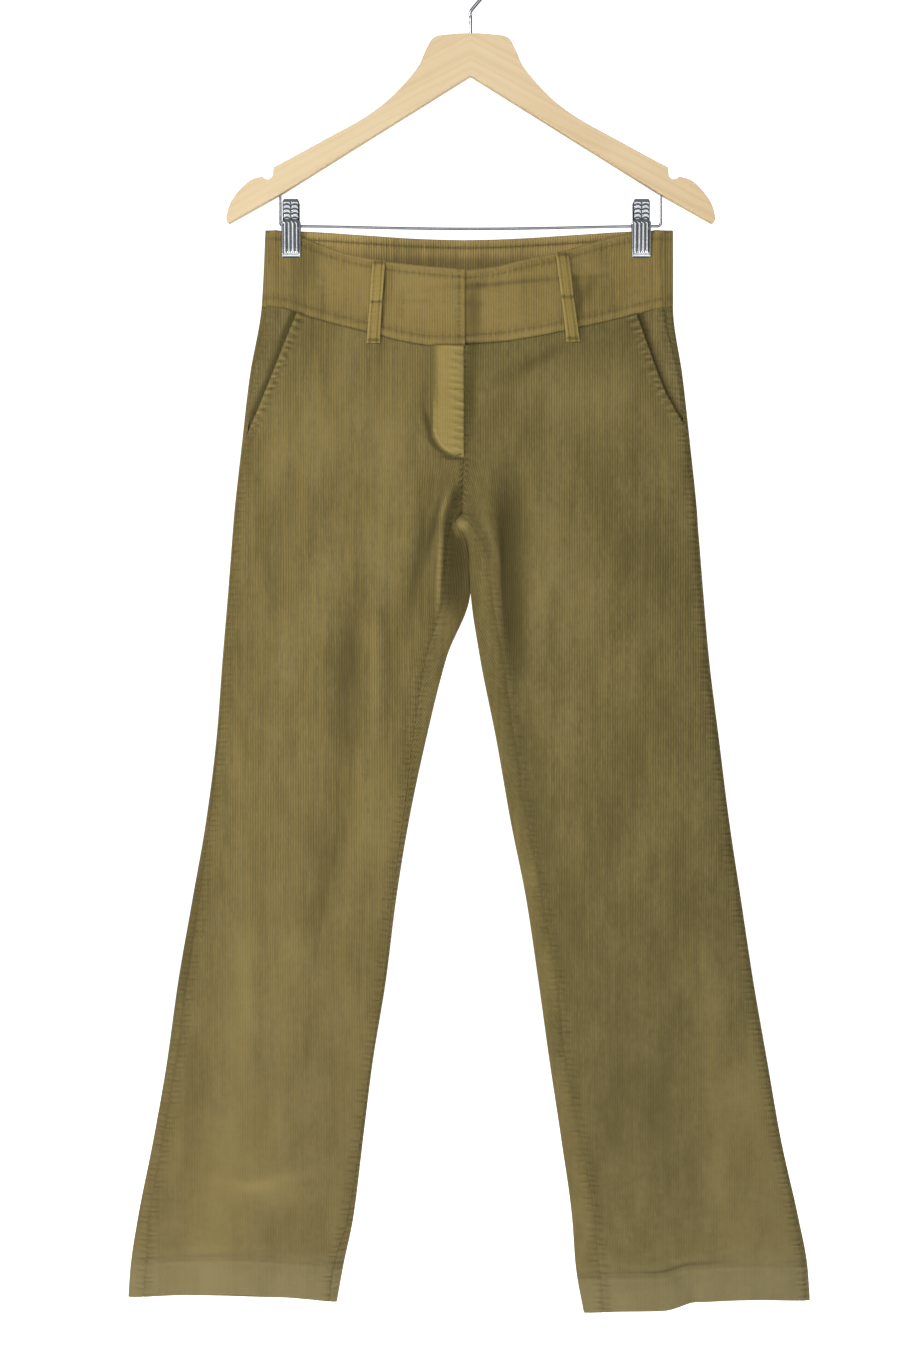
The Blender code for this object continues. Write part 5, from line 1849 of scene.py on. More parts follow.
@dataclass
class Fly:
    """The covered fly with its J-shaped foot, and the closed zip behind it."""

    finish: Corduroy
    tape_finish: Tape
    flat: tuple[float, float] = (0.030, 0.102)
    area: float = 0.0028
    rows: int = 150
    columns: int = 44

    def inside(self, x: Array, drop: Array) -> Array:
        """Distance in from the fly's J-shaped edge.

        Args:
            x: the places across.
            drop: the places' drops.

        Returns:
            The distance in millimetres.
        """
        across = CENTRE_X - x
        past_straight = np.maximum(drop - FLY_STRAIGHT_TO, 0.0) / (FLY_FOOT - FLY_STRAIGHT_TO)
        round_foot = np.hypot(across / FLY_WIDTH, past_straight)
        return np.maximum((1 - round_foot) * FLY_WIDTH, 0.0)

    def placket(self) -> bpy.types.Object:
        """Build the covered strip.

        Returns:
            The finished piece.
        """
        straight = np.linspace(FLY_TOP, FLY_STRAIGHT_TO, self.rows // 2, endpoint=False)
        turn = np.linspace(0.0, math.radians(84), self.rows - self.rows // 2)
        drop = np.concatenate([straight, FLY_STRAIGHT_TO + (FLY_FOOT - FLY_STRAIGHT_TO) * np.sin(turn)])[:, None]
        width = np.concatenate([np.full(straight.shape, FLY_WIDTH), FLY_WIDTH * np.cos(turn)])[:, None]
        share = np.linspace(0.0, 1.0, self.columns + 1)[None, :]
        x = CENTRE_X - FLY_FROM_CENTRE - width * share
        drop = np.broadcast_to(drop, x.shape)
        inside = self.inside(x, drop)
        from_middle = CENTRE_X - x
        rolled = (0.25 + 0.75 * smooth_step(0.0, 12.0, inside)) * smooth_step(-0.6, 1.4, from_middle)
        rolled = rolled + 0.3 * smooth_step(0.6, 2.4, inside)
        wander = 2.2 * ripple_noise(x * 0.4, drop, 40.0, 21)
        pucker = np.sin((drop + wander + 0.25 * from_middle) * 2 * math.pi / 7.3)
        pucker = pucker * np.exp(-((from_middle - 5.0) / 8.0) ** 2) * smooth_step(0.0, 4.0, inside)
        height = 0.25 + FLY_THICKNESS * rolled + 0.5 * pucker * smooth_step(356.0, 372.0, drop)
        round_foot = smooth_step(395.0, 440.0, drop)
        height = height + round_foot * (0.5 * bump_at(inside, 4.2, 2.2) - 0.5 * bump_at(inside, 0.8, 1.0))
        outer = FORM.surface(Half.RIGHT, Face.FRONT, drop, x, -height)
        inner = FORM.surface(Half.RIGHT, Face.FRONT, drop, x, np.full(x.shape, -0.12))
        far = np.full(x.shape, FAR)
        # Painted shade and highlights: shade along the J-shaped edge, a lit ridge inside it at the foot, a lit edge by
        # the middle seam, the puckers' lit and shaded sides, and a lighter band near the middle.
        nap = FORM.nap(outer) * (1 - round_foot) - 2.6 * bump_at(inside, 0.0, 1.7) * round_foot
        nap = nap + 0.9 * bump_at(inside, 3.6, 1.6) * round_foot + 0.9 * bump_at(from_middle, 0.8, 1.0)
        nap = nap - 1.15 * bump_at(inside, 0.0, 7.5) * (1 - round_foot) + 0.5 * pucker
        nap = nap + 0.4 * bump_at(from_middle, 8.0, 7.0)
        maps = maps_of(x, drop, from_middle, np.abs(inside - 2.0), drop - FLY_TOP, far, nap)
        piece = shell_piece("fly_placket_cloth", outer, inner, maps, self.finish.material(), 0.1)
        Piece("cord_band", ("fly_placket",)).declare(piece)
        return piece

    def zip(self) -> bpy.types.Object:
        """Build the closed zip: a tape with its row of teeth down the middle.

        Returns:
            The finished piece.
        """
        drop = np.linspace(ZIP_TOP, ZIP_FOOT, 211)[:, None]
        across = np.linspace(-1.0, 1.0, 25)[None, :]
        x = np.broadcast_to(CENTRE_X + ZIP_HALF_WIDTH * across, (len(drop), across.shape[1]))
        drop = np.broadcast_to(drop, x.shape)
        offset = x - CENTRE_X
        mesh_of_teeth = np.where(offset > 0, 0.5, 0.0)
        tooth = np.clip(1.5 * np.sin((drop / 1.6 + mesh_of_teeth) * 2 * math.pi), -1.0, 1.0)
        chain = smooth_step(3.2, 2.6, np.abs(offset)) * (0.45 + 0.25 * tooth)
        near = CLOTH + 0.4
        outer, inner = (
            FORM.both_halves(Face.FRONT, drop, x, inset)
            for inset in (near - chain * 0.3, near + ZIP_THICKNESS + chain)
        )
        none = np.full(x.shape, FAR)
        maps = maps_of(x, drop, np.abs(offset), none, none, none, none * 0.0)
        piece = shell_piece("fly_zip_tape", outer, inner, maps, self.tape_finish.material(), 0.2)
        Piece("zip_tape", ("fly_zip",)).declare(piece)
        return piece

    def build(self) -> None:
        """Build both pieces."""
        self.placket()
        self.zip()


class LoopLine(NamedTuple):
    """A belt loop: where its middle line starts and ends, its tack, and the face that it lies on."""

    name: str
    face: Face
    top_x: float
    top_drop: float
    foot_x: float
    foot_drop: float
    tack_drop: float


LOOPS = (
    LoopLine("belt_loop_front_right", Face.FRONT, -83.4, 281.0, -88.4, 355.0, 318.0),
    LoopLine("belt_loop_front_left", Face.FRONT, 82.9, 273.0, 92.9, 353.6, 313.0),
    LoopLine("belt_loop_back_right", Face.BACK, -101.0, 257.0, -101.0, 334.0, 0.0),
    LoopLine("belt_loop_back_centre", Face.BACK, -6.0, 260.0, -6.0, 338.0, 0.0),
    LoopLine("belt_loop_back_left", Face.BACK, 91.0, 257.0, 91.0, 334.0, 0.0),
)


@dataclass
class BeltLoop:
    """A flat loop over the waistband, sewn down at its ends and, in front, at its tack."""

    line: LoopLine
    finish: Corduroy
    rows: int = 90
    columns: int = 20

    def middle(self, down: Array) -> tuple[Array, Array]:
        """x and drop of the middle line at shares of the way down."""
        line = self.line
        return line.top_x + (line.foot_x - line.top_x) * down, line.top_drop + (line.foot_drop - line.top_drop) * down

    @property
    def length(self) -> float:
        """The loop's length down the band."""
        return self.line.foot_drop - self.line.top_drop

    @property
    def tacks(self) -> list[float]:
        """Shares of the way down where the loop is sewn down."""
        middle = [(self.line.tack_drop - self.line.top_drop) / self.length] if self.line.tack_drop else []
        return [0.02, 0.97, *middle]

    def stand_off(self, down: Array) -> Array:
        """How far the loop stands off the band.

        Args:
            down: shares of the way down.

        Returns:
            The distance in millimetres.
        """
        rise = np.abs(np.sin(math.pi * down))
        if self.line.tack_drop:
            tack = self.tacks[-1]
            before, after = np.clip(down / tack, 0, 1), np.clip((down - tack) / (1 - tack), 0, 1)
            rise = np.abs(np.sin(math.pi * np.where(down < tack, before, after)))
        return SEAM_EASE + LOOP_STANDS_OFF * rise

    def at(self, down: Array, sideways: Array, off: Array) -> Array:
        """Points over the band.

        Args:
            down: shares of the way down the loop.
            sideways: distances from its middle line.
            off: distances out from the band.

        Returns:
            The points in millimetres.
        """
        x, drop = self.middle(down)
        x, drop = np.broadcast_arrays(x + sideways, drop)
        return FORM.both_halves(self.line.face, drop, x, -off)

    def build(self) -> bpy.types.Object:
        """Build the loop.

        Returns:
            The finished piece.
        """
        line = self.line
        down = np.linspace(0.0, 1.0, self.rows + 1)[:, None]
        share = np.linspace(-1.0, 1.0, self.columns + 1)[None, :]
        length = self.length
        flare = 1 + 0.10 * np.exp(-(((1 - down) * length / 5.0) ** 2)) - 0.05 * np.sin(math.pi * down) ** 2
        sideways = share * LOOP_WIDTH / 2 * flare
        off = self.stand_off(down) + np.zeros_like(sideways)
        rolled = 0.55 * (1 - np.abs(share) ** 4) - 0.32 * bump_at(np.abs(sideways), LOOP_WIDTH / 2 - 2.2, 0.7)
        pressed = np.zeros_like(down)
        for tack in self.tacks:
            pressed = pressed + np.exp(-(((down - tack) * length / 1.6) ** 2))
        crinkle = 0.12 * np.sin(down * length * 2 * math.pi / 4.6 + share * 1.4) * (1 - pressed * 0.5)
        outer = self.at(down, sideways, off + LOOP_CLOTH - 0.35 + rolled - 0.5 * pressed + crinkle)
        inner = self.at(down, sideways, off)
        x, drop = outer[..., 0], -outer[..., 2]
        edge = LOOP_WIDTH / 2 - np.abs(sideways)
        from_top, from_foot = down * length + 0 * edge, (1 - down) * length + 0 * edge
        # Lighter edges, painted shade in the stitch grooves beside them and at the pressed tacks, and lighter halfway
        # down.
        nap = 1.0 * bump_at(edge, 0.4, 1.0) - 0.9 * bump_at(edge, 2.4, 0.9)
        nap = nap - 1.3 * pressed + 0.5 * np.sin(math.pi * down) ** 2
        maps = maps_of(sideways + line.top_x, drop, edge, edge, from_top, from_foot, nap)
        piece = shell_piece(line.name + "_cloth", outer, inner, maps, self.finish.material())
        Piece("cord_band", (line.name,)).declare(piece)
        return piece


class Run(NamedTuple):
    """A row of stitches: its points in order, on the cloth."""

    points: Array
    stitch: float = 2.5
    gap: float = 0.7


@dataclass
class Stitching:
    """Every row of stitches that shows, gathered in one piece for each part of the garment."""

    finish: Thread
    loops: tuple[BeltLoop, ...]
    radius: float = 0.27
    rise: float = 0.20

    def sewn(self, name: str, runs: Sequence[Run], slot: str) -> bpy.types.Object:
        """Make one piece from rows of stitches.

        Args:
            name: the piece's name.
            runs: the rows.
            slot: the slot name that the piece carries.

        Returns:
            The finished piece.
        """
        grids = []
        stations = np.array([0.0, 0.12, 0.5, 0.88, 1.0])
        sink = np.array([-0.30, 0.06, self.rise, 0.06, -0.30])
        girth = np.array([0.5, 0.95, 1.0, 0.95, 0.5]) * self.radius
        turn = np.linspace(0, 2 * math.pi, 7)[:-1]
        for run in runs:
            steps = np.linalg.norm(np.diff(run.points, axis=0), axis=1)
            walked = np.concatenate([[0.0], np.cumsum(steps)])
            pitch = run.stitch + run.gap
            count = max(int(walked[-1] / pitch), 1)
            start = np.arange(count) * pitch + (walked[-1] - count * pitch + run.gap) / 2
            at = np.clip(start[:, None] + stations[None, :] * run.stitch, 0.0, walked[-1])
            centre = np.stack([np.interp(at, walked, run.points[:, axis]) for axis in range(3)], axis=-1)
            way = centre[:, -1:] - centre[:, :1]
            way = way / np.maximum(np.linalg.norm(way, axis=-1, keepdims=True), 1e-9)
            out = np.zeros_like(centre)
            out[..., 1] = np.where(centre[..., 1] < 0, -1.0, 1.0)
            out = out - way * (out * way).sum(-1, keepdims=True)
            out = out / np.maximum(np.linalg.norm(out, axis=-1, keepdims=True), 1e-9)
            side = np.cross(np.broadcast_to(way, out.shape), out)
            centre = centre + out * sink[None, :, None]
            ring = np.cos(turn)[:, None] * out[:, :, None, :] + np.sin(turn)[:, None] * side[:, :, None, :]
            grids.append(centre[:, :, None, :] + ring * girth[None, :, None, None])
        grid = np.concatenate(grids)
        count, rings, sides = grid.shape[:3]
        index = np.arange(count * rings * sides).reshape(count, rings, sides)
        after = np.roll(index, -1, axis=2)
        quads = np.stack([index[:, :-1], after[:, :-1], after[:, 1:], index[:, 1:]], axis=-1).reshape(-1, 4)
        ends = np.concatenate([index[:, 0, ::-1], index[:, -1]])
        faces = quads.tolist() + ends.tolist()
        return Piece(slot).declare(mesh_piece(name, grid.reshape(-1, 3), faces, {}, self.finish.material()))

    def band_runs(self) -> list[Run]:
        """Rows along the waistband's top, along its seam and down its overlapping end."""
        runs = []
        for half in Half:
            side = float(FORM.side_seam(half, BAND_MIDDLE_DROP))
            front, back = np.linspace(0.012, side - 0.01, 300), np.linspace(side + 0.01, 2.0, 400)
            for s in (front, back):
                for line, away in ((Line.TOP, TOP_STITCH), (Line.SEAM, -FOOT_STITCH)):
                    drop = FORM.line_drop(half, s, line) + away
                    sunk = 0.42
                    if half is Half.LEFT and s is front:
                        x = FORM.skin(half, drop, s)[..., 0]
                        sunk = sunk + (BAND_CLOTH + SEAM_EASE) * (1 - smooth_step(CENTRE_X, UNDERLAP_BLENDS_BY, x))
                    runs.append(Run(FORM.skin(half, drop, s, sunk)))
        end = np.linspace(293.0, 354.0, 60)
        runs.append(Run(FORM.surface(Half.RIGHT, Face.FRONT, end, np.full(60, BAND_END - END_STITCH), 0.35)))
        s = np.linspace(1.06, 2.0, 300)
        for half in Half:
            runs.append(Run(FORM.skin(half, FORM.line_drop(half, s, Line.TOP) + TOP_STITCH, s, BAND_CLOTH)))
        return runs

    def hem_runs(self, half: Half) -> list[Run]:
        """Rows round one hem."""
        runs = []
        for first, last in ((0.02, 0.99), (1.01, 1.99)):
            s = np.linspace(first, last, 260)
            drop = FORM.line_drop(half, s, Line.HEM) - HEM_HEIGHT
            runs.append(Run(FORM.skin(half, drop, s, 0.32), 2.8, 0.8))
        return runs

    def pocket_runs(self, half: Half) -> list[Run]:
        """The row along one slanted pocket edge."""
        drop = np.linspace(332.0, POCKET_FOOT[half] - 3.0, 150)
        x = read(POCKET_EDGES, half.word + "_x", drop) - half.value * POCKET_STITCH
        keep = drop > FORM.line_drop(half, FORM.place_of(half, drop, x), Line.SEAM) + 1.0
        height = 1.1 * bump_at(np.full(drop.shape, POCKET_STITCH), 3.6, 4.0) - 0.1
        return [Run(FORM.surface(half, Face.FRONT, drop, x, -height)[keep])]

    def fly_runs(self) -> list[Run]:
        """The J-shaped row on the fly, and its bar tack."""
        turn = np.linspace(0.0, math.radians(82), 60)
        inner = FLY_WIDTH - 1.9
        curve = FLY_STRAIGHT_TO + (FLY_FOOT - FLY_STRAIGHT_TO - 1.9) * np.sin(turn)
        drop = np.concatenate([np.linspace(362.0, FLY_STRAIGHT_TO, 80, endpoint=False), curve])
        x = np.concatenate([np.full(80, CENTRE_X - inner), CENTRE_X - inner * np.cos(turn)])
        runs = [Run(FORM.surface(Half.RIGHT, Face.FRONT, drop, x, -0.75))]
        for k in range(9):
            at = np.linspace(455.5 + 0.35 * k, 457.2 + 0.35 * k, 4)
            x = np.full(4, CENTRE_X - 3.0 - 0.85 * k)
            runs.append(Run(FORM.surface(Half.RIGHT, Face.FRONT, at, x, -1.5), 1.5, 0.1))
        return runs

    def loop_runs(self, loop: BeltLoop) -> list[Run]:
        """Two rows down a belt loop, and its bar tacks."""
        runs = []
        down = np.linspace(0.03, 0.97, 120)
        for hand in (-1, 1):
            off = loop.stand_off(down) + LOOP_CLOTH - 0.20
            runs.append(Run(loop.at(down, np.full(120, hand * (LOOP_WIDTH / 2 - 2.2)), off)))
        for tack in loop.tacks:
            off = loop.stand_off(np.full(4, tack)) + LOOP_CLOTH - 0.35
            at = tack + np.linspace(-0.9, 0.9, 4) / loop.length
            runs += [Run(loop.at(at, np.full(4, (k - 5) * 0.92), off), 1.7, 0.1) for k in range(11)]
        return runs

    def build(self) -> None:
        """Build every row."""
        self.sewn("band_stitches", self.band_runs(), "cord_band")
        for half in Half:
            self.sewn(f"hem_stitches_{half.word}", self.hem_runs(half), "cord")
            self.sewn(f"pocket_stitches_{half.word}", self.pocket_runs(half), "cord")
        self.sewn("fly_stitches", self.fly_runs(), "cord_band")
        for loop in self.loops:
            self.sewn(loop.line.name + "_stitches", self.loop_runs(loop), "cord_band")


# ---------------------------------------------------------------- hanger


class EdgePoint(NamedTuple):
    """A point on the hanger's outline, by its distance from the middle and its drop."""

    across: float
    drop: float


NECK_AND_ARM = tuple(EdgePoint(*row) for row in (
    (0.0, 72.5), (17.0, 73.4), (33.3, 76.3), (41.0, 88.2), (47.4, 102.2), (59.9, 118.0), (77.2, 135.2),
    (99.1, 150.9), (130.5, 168.2), (161.9, 185.4), (179.4, 194.6),
))
ARM_END = tuple(EdgePoint(*row) for row in (
    (191.0, 203.4), (199.5, 205.8), (208.9, 213.7), (218.3, 226.2), (222.4, 240.3), (220.0, 245.0),
))
UNDERSIDE = tuple(EdgePoint(*row) for row in ((169.7, 216.8), (60.0, 148.2), (0.0, 110.7)))


class JawStation(NamedTuple):
    """One height of a clip's jaw: how far its outer face stands from the cloth's middle."""

    drop: float
    out: float
    half_width: float


JAW = tuple(JawStation(*row) for row in (
    (224.0, 10.6, 6.4), (226.0, 10.4, 7.5), (236.0, 8.6, 7.5), (243.0, 7.4, 7.5), (244.5, 7.2, 8.75),
    (258.0, 5.4, 8.75), (268.0, 4.2, 8.75), (274.0, 3.95, 8.75), (276.0, 3.95, 8.0),
))


@dataclass
class Hanger:
    """The wooden arms, the wire hook and the clip bar."""

    wood: Maple
    metal: Chrome
    thickness: float = 13.0
    edge_round: float = 2.6
    notch_x: float = 185.0
    notch_drop: float = 200.5
    notch_radius: float = 5.0
    hook_radius: float = 21.0
    hook_wire: float = 3.2
    bar_wire: float = 2.4
    bar_half_span: float = 173.4
    bar_top: float = 207.0
    bar_low: float = 247.3
    bar_sag: float = 2.4
    bar_bend: float = 3.2

    def outline(self) -> Array:
        """The wood seen from the front, once round.

        Returns:
            Points by x and drop.
        """
        half = list(map(tuple, through_points(NECK_AND_ARM, 6)))
        half += [
            (self.notch_x + self.notch_radius * math.cos(turn), self.notch_drop - self.notch_radius * math.sin(turn))
            for turn in (math.radians(180 + 150 * i / 17) for i in range(1, 18))
        ]
        half += [*map(tuple, through_points(ARM_END, 6)), *UNDERSIDE]
        mirrored = [(-across, drop) for across, drop in half[-2:0:-1]]
        return np.array(half + mirrored)

    def body(self) -> bpy.types.Object:
        """Build the wooden arms with rounded edges.

        Returns:
            The finished piece.
        """
        wood = bmesh.new()
        front = [wood.verts.new((x * MM, -self.thickness / 2 * MM, -drop * MM)) for x, drop in self.outline()]
        face = wood.faces.new(front)
        grown = bmesh.ops.extrude_face_region(wood, geom=[face])
        moved = [item for item in grown["geom"] if isinstance(item, bmesh.types.BMVert)]
        bmesh.ops.translate(wood, vec=(0, self.thickness * MM, 0), verts=moved)
        bmesh.ops.recalc_face_normals(wood, faces=wood.faces)
        mesh = bpy.data.meshes.new("hanger_wood")
        wood.to_mesh(mesh)
        wood.free()
        mesh.materials.append(self.wood.material())
        mesh.shade_smooth()
        piece = bpy.data.objects.new("hanger_wood", mesh)
        bpy.context.scene.collection.objects.link(piece)
        rounding = rounded(piece, self.edge_round, 5, 35)
        rounding.angle_limit = math.radians(50)
        rounding.harden_normals = True
        return Piece("maple", ("hanger_body",)).declare(piece)

    def hook(self) -> bpy.types.Object:
        """Build the hook: a stem, a sweep out to +X and a round turn over the origin.

        Returns:
            The finished piece.
        """
        centre = self.hook_radius - self.hook_wire / 2
        turn = np.radians(np.linspace(-38.0, 205.0, 90))
        arc = np.stack([self.hook_radius * np.cos(turn), centre - self.hook_radius * np.sin(turn)], axis=-1)
        sweep = through_points(((0.0, 58.0), (0.0, 52.0), (6.5, 43.5), tuple(arc[0])), 10)
        stem = np.array([(0.0, drop) for drop in np.linspace(108.0, 59.0, 12)])
        flat = np.concatenate([stem, sweep[:-1], arc])
        path = [(x, 0.0, -drop) for x, drop in flat]
        piece = tube_piece("hook_wire", path, self.hook_wire / 2, self.metal.material(), 20)
        return Piece("chrome_wire", ("hanger_hook",)).declare(piece)

    def bar_drop(self, x: float) -> float:
        """Drop of the bar at x, which sags a little in its middle."""
        span = self.bar_half_span - self.bar_bend
        return self.bar_low + self.bar_sag * max(1 - (x / span) ** 2, 0.0) ** 2

    def bar(self) -> bpy.types.Object:
        """Build the bar: down from one socket, across, and up into the other.

        Returns:
            The finished piece.
        """
        corner_x = self.bar_half_span - self.bar_bend
        corner_drop = self.bar_low - self.bar_bend
        half = [(self.bar_half_span, drop) for drop in np.linspace(self.bar_top + 1.0, corner_drop, 14)]
        half += [
            (corner_x + self.bar_bend * math.cos(turn), corner_drop + self.bar_bend * math.sin(turn))
            for turn in (math.radians(90 * i / 8) for i in range(1, 9))
        ]
        half += [(x, self.bar_drop(x)) for x in np.linspace(corner_x, 0.0, 60)[1:-1]]
        flat = half + [(0.0, self.bar_drop(0.0))] + [(-x, drop) for x, drop in reversed(half)]
        piece = tube_piece("bar_wire", [(x, 0.0, -drop) for x, drop in flat], self.bar_wire / 2, self.metal.material())
        return Piece("chrome_wire", ("clip_bar",)).declare(piece)

    def build(self) -> None:
        """Build the three pieces."""
        self.body()
        self.hook()
        self.bar()


@dataclass
class Clip:
    """A sprung clip: two pressed jaws, the coil between them and the lugs that join them to the bar."""

    half: Half
    metal: Chrome
    plate: Chrome
    pivot: float
    rows: int = 140
    columns: int = 56
    wall: float = 1.0
    coil_radius: float = 2.7
    coil_wire: float = 1.15
    ear_radius: float = 3.4
    ear_wall: float = 0.9

    @property
    def middle(self) -> float:
        """x of the clip's middle."""
        return CLIP_X[self.half]

    def relief(self, across: Array, drop: Array) -> Array:
        """The pressed pattern of a jaw: arcs on the thumb part and ribs on the plate below.

        Args:
            across: distance from the middle.
            drop: the drops.

        Returns:
            The height in millimetres.
        """
        pair = np.abs(np.abs(across) - 3.6)
        arc_drop = (drop - 226.4 - 1.3 * (pair / 3.2) ** 2) / 3.9
        arc = np.clip(np.cos((arc_drop - np.floor(arc_drop) - 0.5) * 2 * math.pi) * -1.0 + 0.6, 0.0, 1.0)
        arcs = 0.75 * arc * smooth_step(3.6, 2.7, pair)
        arcs = arcs * smooth_step(225.5, 227.0, drop) * smooth_step(242.2, 240.8, drop)
        ribs = np.zeros(np.broadcast(across, drop).shape)
        for centre in (-5.9, -2.1, 1.5, 5.1):
            foot = smooth_step(270.0, 272.4, drop) * 0.9
            ribs = ribs + bump_at(across, centre + foot * 0.6, 0.95 + 0.5 * foot)
        ribs = 0.95 * np.clip(ribs * 1.5, 0.0, 1.0) * smooth_step(243.6, 245.4, drop) * smooth_step(273.2, 272.2, drop)
        rim = 0.45 * smooth_step(272.9, 273.6, drop) * smooth_step(275.6, 274.9, drop)
        edge = 0.4 * smooth_step(7.4, 8.2, np.abs(across)) * smooth_step(244.5, 246.0, drop)
        return arcs + ribs + rim + edge

    def jaw(self, face: Face) -> bpy.types.Object:
        """Build one jaw.

        Args:
            face: front or back.

        Returns:
            The finished piece.
        """
        toward = -1.0 if face is Face.FRONT else 1.0
        drops = np.linspace(JAW[0].drop, JAW[-1].drop, self.rows + 1)
        keys = [station.drop for station in JAW]
        out = np.interp(drops, keys, [station.out for station in JAW])[:, None]
        wide = np.interp(drops, keys, [station.half_width for station in JAW])[:, None]
        share = np.linspace(-1.0, 1.0, self.columns + 1)[None, :]
        across = share * wide
        drop = np.broadcast_to(drops[:, None], across.shape)
        bend = -0.7 * np.clip((np.abs(share) - 0.86) / 0.14, 0, 1) ** 2
        relief = self.relief(across, drop)
        height = relief - 0.35 + bend
        x = self.middle + across
        outer = np.stack([x, toward * (out + height), -drop], axis=-1)
        inner = np.stack([x, toward * (out - self.wall + 0.0 * height), -drop], axis=-1)
        name = f"clip_{self.half.word}_{face.value}"
        maps = {LEVELS_MAP: np.stack([relief, relief], axis=-1)}
        piece = shell_piece(name + "_jaw", outer, inner, maps, self.plate.material(), 0.35)
        return Piece("chrome_wire", (name,)).declare(piece)

    def coil(self) -> bpy.types.Object:
        """Build the spring: a coil round the bar with an arm against each jaw.

        Returns:
            The finished piece.
        """
        turns = 5.5
        turn = np.linspace(0.0, 2 * math.pi * turns, 150)
        x = self.middle + np.linspace(-3.9, 3.9, 150)
        y = self.coil_radius * np.sin(turn)
        z = -self.pivot + self.coil_radius * np.cos(turn)
        coil = np.stack([x, y, z], axis=-1)
        first = coil[0] + np.array([(-0.3, -7.0, 14.5), (-0.3, -5.8, 11.0), (-0.2, -3.2, 4.0)])
        last = coil[-1] + np.array([(0.2, 3.2, 9.0), (0.3, 5.8, 16.0), (0.3, 7.0, 19.5)])
        path = through_points(np.concatenate([first, coil[4:-4:6], last]), 8)
        name = f"clip_{self.half.word}_spring"
        piece = tube_piece(name + "_coil", path, self.coil_wire / 2, self.metal.material(), 12)
        return Piece("chrome_wire", (name,)).declare(piece)

    def ears(self) -> bpy.types.Object:
        """Build the lugs that join each jaw to the bar.

        Returns:
            The finished piece.
        """
        out = float(np.interp(self.pivot, [s.drop for s in JAW], [s.out for s in JAW])) - 0.5
        turn = np.radians(np.linspace(-90.0, 90.0, 24))
        count = len(turn) + 2
        points, faces = [], []
        for toward, offset in ((-1.0, 6.7), (1.0, 5.4)):
            y = np.concatenate([[toward * out], -toward * self.ear_radius * np.cos(turn), [toward * out]])
            z = -self.pivot + self.ear_radius * np.concatenate([[-1.0], np.sin(turn), [1.0]])
            for hand in (-1.0, 1.0):
                start = len(points) * count
                for shift in (-self.ear_wall / 2, self.ear_wall / 2):
                    points.append(np.stack([np.full(y.shape, self.middle + hand * offset + shift), y, z], axis=-1))
                faces.append([start + k for k in range(count)])
                faces.append([start + count + k for k in reversed(range(count))])
                faces += [
                    [start + k, start + count + k, start + count + (k + 1) % count, start + (k + 1) % count]
                    for k in range(count)
                ]
        name = f"clip_{self.half.word}_ears"
        piece = mesh_piece(name, np.concatenate(points), faces, {}, self.metal.material(), outward=True)
        rounded(piece, 0.25, 2, 40)
        return Piece("chrome_wire").declare(piece)

    def build(self) -> None:
        """Build the clip's pieces."""
        self.jaw(Face.FRONT)
        self.jaw(Face.BACK)
        self.coil()
        self.ears()


# ---------------------------------------------------------------- studio


